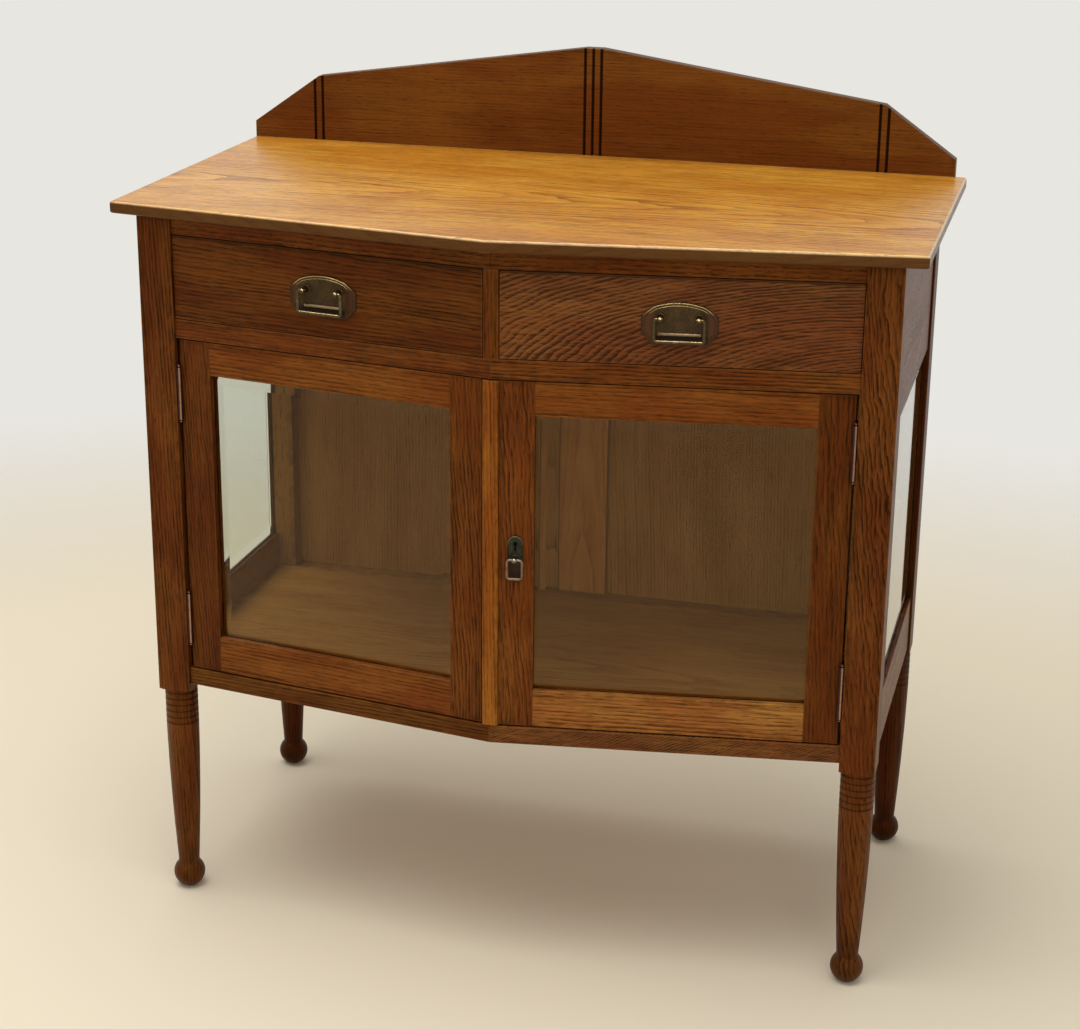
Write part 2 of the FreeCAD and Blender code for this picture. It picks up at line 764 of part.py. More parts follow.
def make_pull(name, side):
    """Drawer pull: arched back plate, two posts and the bail that hangs between them."""
    plate = pull_frame(f"{name}_pull_back_plate", side)
    side_low = "-pull_below_axis + pull_foot_clip"
    side_top = f"{side_low} + pull_side_height"
    shoulder = f"{side_top} + pull_clip_height"
    right = [("pull_foot_half", "-pull_below_axis"), ("pull_half_width", side_low),
             ("pull_half_width", side_top), ("pull_arch_half", shoulder)]
    left = [(f"-{x}", z) for x, z in reversed(right)]
    arch_radius = "(pull_arch_half ^ 2 + pull_arch_rise ^ 2) / (2 * pull_arch_rise)"
    shape = outline(plate, "XZ_Plane", [right + left], {3: (arch_radius, 1)}, lift="-post_reach")
    pad(plate, shape, "pull_plate_thick", reverse=True)
    soften(plate, "pull_plate_round")
    posts = []
    for hand in (-1, 1):
        post = pull_frame(f"{name}_pull_post", side)
        centre = f"{hand} * post_offset"
        rod(post, "post_radius", "post_reach + post_radius", (centre, "post_reach", "0"), "y")
        soften(post, "post_head_round",
               lambda edge: edge.CenterOfMass.y < 0 and direction(edge).Length < 0.5)
        rod(post, "bail_radius + pin_play", "4 * post_radius",
            (f"{centre} - 2 * post_radius", "0", "0"), "x", cut=True)
        posts.append(post)
    group(f"{name}_pull_plate", [plate] + posts)
    bail = pull_frame(f"{name}_drawer_bail", side)
    start = "post_offset - post_radius"
    turn = "bail_half - bail_bend"
    low = "-bail_drop + bail_bend"
    half_path = [(start, "0"), (turn, "0"), ("bail_half", "-bail_bend"),
                 ("bail_half", low), (turn, "-bail_drop")]
    path = half_path + [(f"-({x})", z) for x, z in reversed(half_path)]
    bends = {1: ("bail_bend", -1), 3: ("bail_bend", -1), 5: ("bail_bend", -1), 7: ("bail_bend", -1)}
    sweep(bail, outline(bail, "XZ_Plane", [path], bends, closed=False), "bail_radius", start)
    keep(bail)


def sweep(body, spine, radius, start):
    """Carry a round section along a path that sets out along X from its start."""
    section = body.newObject("Sketcher::SketchObject", f"{body.Name}_section")
    section.AttachmentSupport = [(origin_plane(body, "YZ_Plane"), "")]
    section.MapMode = "FlatFace"
    section.setExpression("AttachmentOffset.Base.z", bind(start))
    circle = section.addGeometry(Part.Circle(FreeCAD.Vector(), FreeCAD.Vector(0, 0, 1), number(radius)))
    section.addConstraint(Sketcher.Constraint("Coincident", circle, 3, -1, 1))
    held = section.addConstraint(Sketcher.Constraint("Radius", circle, number(radius)))
    section.setExpression(f"Constraints[{held}]", bind(radius))
    doc.recompute()
    pipe = body.newObject("PartDesign::AdditivePipe", f"{body.Name}_pipe")
    pipe.Profile = section
    pipe.Spine = (spine, [])
    return pipe


def make_drawer(name, side):
    """Drawer box behind a canted front, with its pull."""
    front = [("drawer_in", front_at("drawer_in")), ("drawer_out", front_at("drawer_out")),
             ("drawer_out", front_at("drawer_out") + " + drawer_front_thick"),
             ("drawer_in", front_at("drawer_in") + " + drawer_front_thick")]
    keep(prism(f"{name}_drawer_front", mirrored(side, front), "middle_top + drawer_gap",
               "drawer_top - drawer_gap", "board_arris"))

    def behind_front(x):
        return front_at(x) + " + drawer_front_thick"

    near = "drawer_in + drawer_side_inset"
    far = "drawer_out - drawer_side_inset"
    bottom = ("drawer_low + drawer_bottom_lift", "drawer_low + drawer_bottom_lift + drawer_bottom_thick")
    boards = []
    walls = [(near, f"{near} + drawer_side_thick"), (f"{far} - drawer_side_thick", far)]
    inner = (walls[0][1], walls[1][0])
    grooves = [(f"{inner[0]} - drawer_bottom_groove", f"{inner[0]} + cut_overrun"),
               (f"{inner[1]} - cut_overrun", f"{inner[1]} + drawer_bottom_groove")]
    for (low, high), groove in zip(walls, grooves):
        points = [(low, behind_front(low)), (high, behind_front(high)),
                  (high, "drawer_back"), (low, "drawer_back")]
        wall = prism(f"{name}_drawer_side", mirrored(side, points), "drawer_low", "drawer_side_top")
        block(wall, sided(side, *groove), ("face_mid", "drawer_back + cut_overrun"), bottom, cut=True)
        boards.append(wall)
    group(f"{name}_drawer_sides", boards)
    keep(make_strip(f"{name}_drawer_back", sided(side, *inner),
                    ("drawer_back - drawer_back_thick", "drawer_back"),
                    (bottom[1], "drawer_side_top - drawer_back_drop")))
    edges = (f"{inner[0]} - drawer_bottom_groove", f"{inner[1]} + drawer_bottom_groove")
    panel = [(edges[0], behind_front(edges[0])), (edges[1], behind_front(edges[1])),
             (edges[1], "drawer_back"), (edges[0], "drawer_back")]
    keep(prism(f"{name}_drawer_bottom", mirrored(side, panel), *bottom))
    make_pull(name, side)


def make_hinge_leaf(label, side, low, thirds, fixed):
    """One leaf of a butt hinge with the knuckles that belong to it."""
    body = new_body(label)
    plate = ("span - leaf_thick", "span") if fixed else ("door_edge", "door_edge + leaf_thick")
    third = "(hinge_length / 3)"
    block(body, sided(side, *plate), ("edge_y", "edge_y + leaf_width"), (low, f"{low} + hinge_length"))
    for index in thirds:
        segment = (f"{low} + {index} * {third} + knuckle_gap / 2",
                   f"{low} + {index + 1} * {third} - knuckle_gap / 2")
        web = ("pin_y - leaf_thick / 2", "pin_y + leaf_thick / 2")
        block(body, sided(side, "pin_x", plate[1]), web, segment)
        block(body, sided(side, *plate), ("pin_y - leaf_thick / 2", "edge_y + leaf_width"), segment)
        rod(body, "knuckle_radius", f"({segment[1]}) - ({segment[0]})",
            (f"{side} * pin_x", "pin_y", segment[0]))
    bore = "hinge_pin_radius" if fixed else "hinge_pin_radius + pin_play"
    foot = (f"{side} * pin_x", "pin_y", f"{low} - cut_overrun")
    rod(body, bore, "hinge_length + 2 * cut_overrun", foot, cut=True)
    return body


def hinge_heights():
    """Lower end of the lower and of the upper hinge of a door."""
    return ["door_low + hinge_inset", "door_high - hinge_inset - hinge_length"]


def make_hinges():
    """Post leaves and pins of all four hinges."""
    leaves = []
    pins = []
    for side in (-1, 1):
        for low in hinge_heights():
            leaves.append(make_hinge_leaf("post_hinge_leaf", side, low, (0, 2), fixed=True))
            pin = new_body("hinge_pin")
            rod(pin, "hinge_pin_radius", "hinge_length", (f"{side} * pin_x", "pin_y", low))
            pins.append(pin)
    group("post_hinge_leaves", leaves)
    group("hinge_pins", pins)


def make_door(name, side, meeting_edge):
    """Glazed door in the canted plane: mortised stiles, tenoned rails, glass, beads and hinge leaves."""
    sight_in = f"({along(meeting_edge, 'door_setback')} + door_stile)"
    sight = (sight_in, "sight_out")
    seat_low = "sight_low - rebate_width"
    seat_high = "sight_high + rebate_width"
    rebate = ("glass_face", "door_back + cut_overrun")
    tenon_depth = ("glass_face", "glass_face + door_tenon_thick")
    tenons = [("door_low + door_tenon_shoulder", f"{seat_low} - door_tenon_shoulder"),
              (f"{seat_high} + door_tenon_shoulder", "door_high - door_tenon_shoulder")]
    stiles = (("hinge", "door_edge", "sight_out", 1), ("meeting", meeting_edge, sight_in, -1))
    for which, edge, inner, away in stiles:
        points = [(along(edge, "door_setback"), "door_setback"), (along(edge, "door_back"), "door_back"),
                  (inner, "door_back"), (inner, "door_setback")]
        stile = facet_body(f"{name}_door_{which}_stile", side)
        prism("", mirrored(side, points), "door_low", "door_high", "board_arris", stile)
        over = f"({inner}) - {away} * cut_overrun"
        reach = sorted_pair(over, f"({inner}) + {away} * rebate_width", away)
        block(stile, sided(side, *reach), rebate, (seat_low, seat_high), cut=True)
        mortise = sorted_pair(over, f"({inner}) + {away} * door_tenon_length", away)
        for height in tenons:
            block(stile, sided(side, *mortise), tenon_depth, height, cut=True)
        keep(stile)
    rails = (("bottom", "door_low", "sight_low", tenons[0], (seat_low, "sight_low + cut_overrun")),
             ("top", "sight_high", "door_high", tenons[1], ("sight_high - cut_overrun", seat_high)))
    for which, low, high, tenon, seat in rails:
        rail = facet_body(f"{name}_door_{which}_rail", side)
        block(rail, sided(side, *sight), ("door_setback", "door_back"), (low, high))
        soften(rail, "board_arris")
        past = sided(side, f"{sight[0]} - cut_overrun", f"{sight[1]} + cut_overrun")
        block(rail, past, rebate, seat, cut=True)
        block(rail, sided(side, f"{sight[0]} - door_tenon_length", f"{sight[1]} + door_tenon_length"),
              tenon_depth, tenon)
        keep(rail)
    edge = "(rebate_width - glass_clearance)"
    glass = facet_body(f"{name}_door_glass", side)
    glass_back = "glass_face + glass_thick"
    pane = sided(side, f"{sight[0]} - {edge}", f"{sight[1]} + {edge}")
    bevelled_glass(glass, pane, ("glass_face", glass_back), (f"sight_low - {edge}", f"sight_high + {edge}"))
    keep(glass)
    depth = (glass_back, "door_back")
    strips = [((f"{sight[0]} - rebate_width", sight[0]), (seat_low, seat_high)),
              ((sight[1], f"{sight[1]} + rebate_width"), (seat_low, seat_high)),
              (sight, (seat_low, "sight_low")), (sight, ("sight_high", seat_high))]
    beads = []
    for across, height in strips:
        bead = facet_body(f"{name}_glazing_bead", side)
        block(bead, sided(side, *across), depth, height)
        beads.append(bead)
    group(f"{name}_door_glazing_beads", beads)
    group(f"{name}_door_hinge_leaves",
          [make_hinge_leaf(f"{name}_door_leaf", side, low, (1,), fixed=False) for low in hinge_heights()])


def sorted_pair(first, second, way):
    """Two formulas in rising order, given which way the second lies from the first."""
    return (first, second) if way > 0 else (second, first)


def make_closing_bead():
    """Strip on the right door's meeting edge that closes the gap between the doors."""
    body = new_body("closing_bead")
    door_mid = "face_mid + door_setback * stretch"
    front = f"{door_mid} + slope * bead_half - bead_proud"
    block(body, ("-bead_half", "bead_half"), (front, f"{door_mid} + door_thick"), ("door_low", "door_high"))
    soften(body, "bead_round", lambda edge: upright(edge) and edge.CenterOfMass.y < number("face_mid"))
    return keep(body)


def drop_frame(label):
    """A body set at the axis of the drop ring, with local X along the door."""
    x = "(drop_along - drop_depth * slope) / stretch"
    y = "face_mid + (drop_along * slope + drop_depth) / stretch"
    return new_body(label, (x, y, "drop_axis_height"), "lean")


def make_drop_pull():
    """Round-topped plate with a keyhole and a narrow tail, a post, and the ring that hangs from the post."""
    plate = drop_frame("drop_back_plate")
    shoulder = "drop_plate_above - drop_plate_half"
    right = [("drop_foot_half", "-drop_plate_below + drop_foot_half"),
             ("drop_foot_half", "-drop_waist - drop_waist_run"), ("drop_plate_half", "-drop_waist"),
             ("drop_plate_half", shoulder)]
    left = [(f"-{x}", z) for x, z in reversed(right)]
    points = right + [("0", "drop_plate_above")] + left + [("0", "-drop_plate_below")]
    bends = {3: ("drop_plate_half", 1), 4: ("drop_plate_half", 1),
             8: ("drop_foot_half", 1), 9: ("drop_foot_half", 1)}
    shape = outline(plate, "XZ_Plane", [points], bends, lift="-drop_post_reach")
    pad(plate, shape, "pull_plate_thick", reverse=True)
    soften(plate, "pull_plate_round")
    over = ("drop_post_reach - cut_overrun", "drop_post_reach + pull_plate_thick + cut_overrun")
    through = f"({over[1]}) - ({over[0]})"
    rod(plate, "keyhole_radius", through, ("0", over[1], "keyhole_rise"), "y", cut=True)
    block(plate, ("-keyhole_slot_width / 2", "keyhole_slot_width / 2"), over,
          ("keyhole_rise - keyhole_slot_height", "keyhole_rise"), cut=True)
    post = drop_frame("drop_post")
    rod(post, "drop_post_radius", "drop_post_reach + drop_post_radius", ("0", "drop_post_reach", "0"), "y")
    rod(post, "ring_wire_radius + pin_play", "4 * drop_post_radius",
        ("-2 * drop_post_radius", "0", "0"), "x", cut=True)
    group("drop_plate", [plate, post])
    ring = drop_frame("drop_ring")
    turn = "ring_half_width - ring_bend"
    low = "-ring_height + ring_bend"
    right = [("0", "0"), (turn, "0"), ("ring_half_width", "-ring_bend"),
             ("ring_half_width", low), (turn, "-ring_height")]
    path = right + [(f"-({x})", z) for x, z in reversed(right[1:])]
    bends = {index: ("ring_bend", -1) for index in (1, 3, 5, 7)}
    sweep(ring, outline(ring, "XZ_Plane", [path], bends), "ring_wire_radius", "0")
    keep(ring)


def write_parts():
    """Check every object, then write each sub-part under its label."""
    doc.recompute()
    for item in doc.Objects:
        if {"Invalid", "Error"} & set(item.State):
            raise RuntimeError(f"{item.Label} failed: {item.State}")
    for node in nodes:
        if node.Shape.isNull() or not node.Shape.isValid():
            raise RuntimeError(f"{node.Label} has no valid shape")
    for node in nodes:
        node.Shape.exportStep(f"parts/{node.Label}.step")
    print(len(nodes), "sub-parts written")


make_carcass()
make_hinges()
for drawer_name, drawer_side in (("left", -1), ("right", 1)):
    make_drawer(drawer_name, drawer_side)
make_door("left", -1, "bead_half + door_gap")
make_door("right", 1, "bead_half")
make_closing_bead()
make_drop_pull()
write_parts()
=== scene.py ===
"""Looks of a glazed oak chiffonier: stained oak, honey oak top, bevelled glass and aged brass.

Everything is in metres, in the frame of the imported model: +X right, -Y front, +Z up.
"""

import logging
import math
import zlib
from dataclasses import dataclass, field, replace
from enum import Enum
from typing import Any, ClassVar, Iterable, Iterator, Mapping, Sequence

import bmesh
import bpy
import numpy as np
from mathutils import Euler, Matrix, Vector


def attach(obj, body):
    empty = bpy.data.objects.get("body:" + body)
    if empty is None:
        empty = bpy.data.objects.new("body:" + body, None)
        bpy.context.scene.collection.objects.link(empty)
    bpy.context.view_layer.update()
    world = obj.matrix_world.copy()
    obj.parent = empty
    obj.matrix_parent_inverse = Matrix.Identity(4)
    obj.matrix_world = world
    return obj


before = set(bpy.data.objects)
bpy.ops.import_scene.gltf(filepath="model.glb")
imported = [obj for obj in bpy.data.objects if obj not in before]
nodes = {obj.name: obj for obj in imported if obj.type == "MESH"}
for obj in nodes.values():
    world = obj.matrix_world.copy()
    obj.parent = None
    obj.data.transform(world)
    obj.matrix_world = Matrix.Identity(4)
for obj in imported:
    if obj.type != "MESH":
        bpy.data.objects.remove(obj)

log = logging.getLogger("chiffonier")

Colour = tuple[float, float, float, float]
Pair = tuple[float, float]
Triple = tuple[float, float, float]
Socket = bpy.types.NodeSocket

# Shape of the canted front, shared by the drawers, the doors and their brass
FRONT_BOW = 0.060
HALF_SPAN = 0.411
FACE_MIDDLE = -0.244
SLOPE = FRONT_BOW / HALF_SPAN
LEAN = math.atan2(FRONT_BOW, HALF_SPAN)

# How close points are one point, and how far two faces turn before their edge is sharp
MERGE_DISTANCE = 1e-6
SHARP_ANGLE = math.radians(40)

ORIGIN = Vector((0, 0, 0))
UNTURNED = Euler((0, 0, 0))


class Hand(Enum):
    """Half of the cabinet that a piece belongs to, as its side along X."""

    LEFT = -1
    RIGHT = 1

    def __str__(self) -> str:
        """The hand as the names of pieces spell it."""
        return self.name.lower()


class Slot(Enum):
    """Material slots of the record, meant for new pieces; no piece here is given one."""

    BRASS = "brass_aged"
    STEEL = "steel"


class Cut(Enum):
    """Which way a board's grain runs, as the turn of its own directions: length, depth, breadth."""

    FRONT = (0.0, 0.0, 0.0)
    FLAT = (math.pi / 2, 0.0, 0.0)
    UPRIGHT = (0.0, -math.pi / 2, 0.0)
    SIDE = (0.0, 0.0, math.pi / 2)


def paint(red: int, green: int, blue: int) -> Colour:
    """Turn a display colour of 0 to 255 into the linear colour that a shader takes.

    Args:
        red: Red share as displayed.
        green: Green share as displayed.
        blue: Blue share as displayed.

    Returns:
        Linear red, green, blue and full alpha.
    """
    shown = np.array([red, green, blue]) / 255
    linear = np.where(shown <= 0.04045, shown / 12.92, ((shown + 0.055) / 1.055) ** 2.4)
    return (*map(float, linear), 1.0)


class Value:
    """A number that varies over a surface: one shader socket, used in ordinary expressions."""

    def __init__(self, net: "Net", socket: Socket) -> None:
        """Hold a socket of a node tree."""
        self.net = net
        self.socket = socket

    def __add__(self, other: Any) -> "Value":
        """Sum of two values."""
        return self.net.maths("ADD", self, other)

    def __sub__(self, other: Any) -> "Value":
        """Difference of two values."""
        return self.net.maths("SUBTRACT", self, other)

    def __rsub__(self, other: Any) -> "Value":
        """Difference, with a plain number first."""
        return self.net.maths("SUBTRACT", other, self)

    def __mul__(self, other: Any) -> "Value":
        """Product of two values."""
        return self.net.maths("MULTIPLY", self, other)

    def __truediv__(self, other: Any) -> "Value":
        """Quotient of two values."""
        return self.net.maths("DIVIDE", self, other)

    def __pow__(self, other: Any) -> "Value":
        """Power of a value."""
        return self.net.maths("POWER", self, other)

    def __abs__(self) -> "Value":
        """Size of a value without its sign."""
        return self.net.maths("ABSOLUTE", self)

    __radd__ = __add__
    __rmul__ = __mul__

    def least(self, other: Any) -> "Value":
        """The smaller of two values."""
        return self.net.maths("MINIMUM", self, other)

    def most(self, other: Any) -> "Value":
        """The larger of two values."""
        return self.net.maths("MAXIMUM", self, other)

    def share(self) -> "Value":
        """The value held between 0 and 1."""
        return self.most(0.0).least(1.0)

    def root(self) -> "Value":
        """Square root of a value."""
        return self.net.maths("SQRT", self)

    def fraction(self) -> "Value":
        """What is left of a value above its whole number."""
        return self.net.maths("FRACT", self)

    def whole(self) -> "Value":
        """Whole number at or below a value."""
        return self.net.maths("FLOOR", self)

    def about(self, size: float) -> "Value":
        """A pattern about 0.5 made one about 0, of a given size."""
        return size * (self - 0.5)

    def between(self, low: float, high: float) -> "Value":
        """A share made a value from low, at 0, to high, at 1."""
        return low + (high - low) * self

    def step(self, low: float, high: float) -> "Value":
        """Ease from 0 to 1 while the value goes from low to high.

        Args:
            low: Value at which the result is 0.
            high: Value at which the result is 1; it may be the smaller of the two.

        Returns:
            The eased share, held between 0 and 1.
        """
        if low > high:
            return 1 - self.step(high, low)
        settings = {"interpolation_type": "SMOOTHSTEP"}
        sockets = {"Value": self, "From Min": low, "From Max": high}
        return Value(self.net, self.net.node("ShaderNodeMapRange", settings, sockets).outputs[0])


@dataclass(frozen=True)
class Pattern:
    """A soft random pattern: patches per metre along each direction, its own seed, and its finer layers."""

    stretch: Triple
    seed: float = 0.0
    detail: float = 2.0
    rough: float = 0.5


DASHES = Pattern((48, 560, 560), seed=2)
FADING = Pattern((5, 15, 15), seed=7)
FIBRES = Pattern((16, 340, 340), detail=4.0, rough=0.65)
PORES = Pattern((75, 900, 900), detail=1.0)
PATCHES = Pattern((4, 14, 14), detail=3.0, rough=0.6)
BLUSHES = Pattern((6, 18, 18), seed=4)
SCUFFS = Pattern((60, 90, 90), seed=5, detail=3.0, rough=0.65)
SLOW_WAVER = Pattern((7, 22, 22))
QUICK_WAVER = Pattern((38, 90, 90), seed=9)
CLOUDS = Pattern((70, 70, 70), detail=4.0, rough=0.6)
SPECKS = Pattern((700, 700, 700), detail=3.0, rough=0.6)
RIPPLES = Pattern((9, 9, 9), seed=3, detail=1.0)


class Net:
    """Node tree of one material or of the world, written as expressions."""

    SEED_WAY: ClassVar[Triple] = (1.0, 0.37, -0.71)

    def __init__(self, owner: bpy.types.ID) -> None:
        """Clear the node tree of a material or a world.

        Args:
            owner: The material or the world.
        """
        self.owner = owner
        owner.use_nodes = True
        self.tree = owner.node_tree
        self.tree.nodes.clear()

    @classmethod
    def material(cls, name: str) -> "Net":
        """Node tree of a new material."""
        return cls(bpy.data.materials.new(name))

    def node(self, kind: str, settings: Mapping[str, Any] | None = None,
             sockets: Mapping[Any, Any] | None = None) -> bpy.types.Node:
        """Add a node of any kind.

        Args:
            kind: Type name of the node.
            settings: Properties of the node, set first.
            sockets: Value, or socket to link, for each input by name or place.

        Returns:
            The new node.
        """
        made = self.tree.nodes.new(kind)
        for name, setting in (settings or {}).items():
            setattr(made, name, setting)
        for key, given in (sockets or {}).items():
            source = given.socket if isinstance(given, Value) else given
            if isinstance(source, Socket):
                self.tree.links.new(source, made.inputs[key])
            else:
                made.inputs[key].default_value = source
        return made

    def maths(self, operation: str, *terms: Any) -> Value:
        """One Math node on values and plain numbers."""
        made = self.node("ShaderNodeMath", {"operation": operation}, dict(enumerate(terms)))
        return Value(self, made.outputs[0])

    def mix(self, share: Any, first: Any, second: Any, blend: str = "MIX") -> Socket:
        """Blend two colours.

        Args:
            share: How much of the second colour shows.
            first: Colour at share 0.
            second: Colour at share 1.
            blend: How the second colour is laid over the first.

        Returns:
            The blended colour.
        """
        settings = {"data_type": "RGBA", "blend_type": blend}
        return self.node("ShaderNodeMix", settings, {0: share, 6: first, 7: second}).outputs[2]

    def place(self, centre: Vector = ORIGIN, turn: Euler = UNTURNED) -> Socket:
        """Coordinates of a piece about a middle, along turned directions.

        Args:
            centre: The middle, in the object's frame.
            turn: Turn of the directions.

        Returns:
            The coordinates, in metres.
        """
        sockets = {"Vector": self.coordinate("Object"), "Location": centre, "Rotation": turn}
        return self.node("ShaderNodeMapping", {"vector_type": "TEXTURE"}, sockets).outputs[0]

    def coordinate(self, name: str) -> Socket:
        """One of the coordinates that a surface has by itself, such as Object or Normal."""
        return self.node("ShaderNodeTexCoord").outputs[name]

    def parts(self, vector: Socket) -> tuple[Value, Value, Value]:
        """The three coordinates of a vector."""
        first, second, third = self.node("ShaderNodeSeparateXYZ", None, {0: vector}).outputs
        return Value(self, first), Value(self, second), Value(self, third)

    def toward(self, direction: Triple) -> Value:
        """How squarely a surface faces a direction: the product of that and the surface's own direction.

        Args:
            direction: The direction, of length 1.

        Returns:
            1 straight at it, 0 across it, -1 away from it.
        """
        sockets = {0: self.coordinate("Normal"), 1: direction}
        made = self.node("ShaderNodeVectorMath", {"operation": "DOT_PRODUCT"}, sockets)
        return Value(self, made.outputs[1])

    def noise(self, vector: Socket, pattern: Pattern, seed: float = 0.0) -> Value:
        """Soft random pattern about 0.5: noise at the place times the pattern's stretch, plus a shift.

        Args:
            vector: Place on the piece.
            pattern: The pattern.
            seed: Shift that gives each piece its own part of the pattern.

        Returns:
            The pattern's value.
        """
        start = seed + pattern.seed
        shift = tuple(start * way for way in self.SEED_WAY)
        sockets = {0: vector, 1: pattern.stretch, 2: shift}
        spread = self.node("ShaderNodeVectorMath", {"operation": "MULTIPLY_ADD"}, sockets).outputs[0]
        sockets = {"Vector": spread, "Scale": 1.0, "Detail": pattern.detail, "Roughness": pattern.rough}
        return Value(self, self.node("ShaderNodeTexNoise", None, sockets).outputs[0])

    def chance(self, number: Value, seed: float) -> Value:
        """A random share that is the same wherever the number is the same."""
        made = self.node("ShaderNodeTexWhiteNoise", {"noise_dimensions": "1D"}, {"W": number + seed})
        return Value(self, made.outputs[0])

    def bump(self, height: Value, depth: float, strength: float) -> Socket:
        """Surface direction tilted by a height pattern."""
        sockets = {"Height": height, "Distance": depth, "Strength": strength}
        return self.node("ShaderNodeBump", None, sockets).outputs[0]

    def principled(self, sockets: Mapping[str, Any]) -> Socket:
        """Principled shader with the given sockets."""
        return self.node("ShaderNodeBsdfPrincipled", None, sockets).outputs[0]

    def clear(self, tint: Colour = (1.0, 1.0, 1.0, 1.0)) -> Socket:
        """Shader that lets light straight through."""
        return self.node("ShaderNodeBsdfTransparent", None, {"Color": tint}).outputs[0]

    def either(self, share: Any, first: Socket, second: Socket) -> Socket:
        """The first shader at share 0, the second at share 1."""
        return self.node("ShaderNodeMixShader", None, {0: share, 1: first, 2: second}).outputs[0]

    def put_on(self, piece: bpy.types.Object, surface: Socket) -> None:
        """Finish the material with a surface and put it in all of a piece's slots.

        Args:
            piece: The piece to dress; a first slot is added where it has none.
            surface: The finished shader.
        """
        self.node("ShaderNodeOutputMaterial", None, {"Surface": surface})
        if not piece.material_slots:
            piece.data.materials.append(self.owner)
        for holder in piece.material_slots:
            holder.material = self.owner
        log.info("dressed %s in %s", piece.name, self.owner.name)


def seed_of(piece: bpy.types.Object) -> float:
    """A piece's own seed, from its name."""
    return zlib.crc32(piece.name.encode()) % 997 / 10


@dataclass(frozen=True)
class Grain:
    """How a board lay in its log: place of the pith, its slant, and how restless the rings are.

    A folded board has two canted halves, and a jointed one is made of strips as wide as its boards value.
    """

    cut: Cut
    facet: int = 0
    depth: float = 0.07
    across: float = 0.0
    rise: float = 0.03
    drift: float = 0.01
    waver: float = 0.003
    pitch: float = 0.0042
    force: float = 1.0
    fold: float = 0.0
    boards: float = 0.0


@dataclass(frozen=True)
class Board:
    """A piece of wood being dressed: its node tree, its own directions and half sizes, and its seed."""

    net: Net
    place: Socket
    length: Value
    depth: Value
    breadth: Value
    half: Vector
    seed: float

    STRIP_START: ClassVar[float] = 0.37
    STRIP_SHIFT: ClassVar[float] = 0.9
    STRIP_SIDE: ClassVar[float] = 0.10
    SLOW_SHARE: ClassVar[float] = 2.0
    QUICK_SHARE: ClassVar[float] = 0.6

    @classmethod
    def lay(cls, piece: bpy.types.Object, finish: str, grain: Grain) -> "Board":
        """Start a material on a piece, along the directions in which it was cut.

        Args:
            piece: The piece to dress.
            finish: Name of its finish.
            grain: How the piece was cut.

        Returns:
            The board.
        """
        net = Net.material(f"{finish}_{piece.name}")
        about_x, about_y, about_z = grain.cut.value
        turn = Euler((about_x, about_y, about_z + grain.facet * LEAN))
        centre, half = measure(piece, turn)
        place = net.place(centre, turn)
        return cls(net, place, *net.parts(place), half, seed_of(piece))

    def noise(self, pattern: Pattern) -> Value:
        """A pattern at this board's own place and seed."""
        return self.net.noise(self.place, pattern, self.seed)

    def edge(self) -> Value:
        """Distance to the nearest edge: the middle one of the distances to the three pairs of faces.

        Returns:
            The distance, in metres.
        """
        parts = (self.length, self.depth, self.breadth)
        first, second, third = (size - abs(part) for size, part in zip(self.half, parts))
        return first.least(second).most(first.most(second).least(third))

    def behind_face(self) -> Value:
        """Distance behind the face that looks forwards."""
        return self.depth + self.half.y

    def under_face(self) -> Value:
        """Distance under the face of a flat board."""
        return self.half.y - self.depth

    def rings(self, grain: Grain) -> Value:
        """Count of growth rings: the distance to a slanting pith, wavered by noise, over the ring pitch.

        In a jointed board each strip has the pith at its own place. In a folded one the depth is taken square
        to each half.

        Args:
            grain: How the piece was cut.

        Returns:
            Number of rings from the pith, with its fraction.
        """
        depth, breadth, shift = self.depth, self.breadth, 0.0
        if grain.boards:
            strip = (breadth / grain.boards + self.STRIP_START).whole()
            shift = self.net.chance(strip, self.seed).about(self.STRIP_SHIFT)
            breadth = breadth + self.net.chance(strip, self.seed + 3).about(self.STRIP_SIDE)
        if grain.fold:
            depth = depth - grain.fold * abs(self.length)
        behind = depth + grain.depth + grain.rise * (self.length + shift)
        beside = breadth - grain.across - grain.drift * self.length
        distance = (behind * behind + beside * beside).root()
        distance = distance + self.noise(SLOW_WAVER).about(self.SLOW_SHARE * grain.waver)
        distance = distance + self.noise(QUICK_WAVER).about(self.QUICK_SHARE * grain.waver)
        return distance / grain.pitch


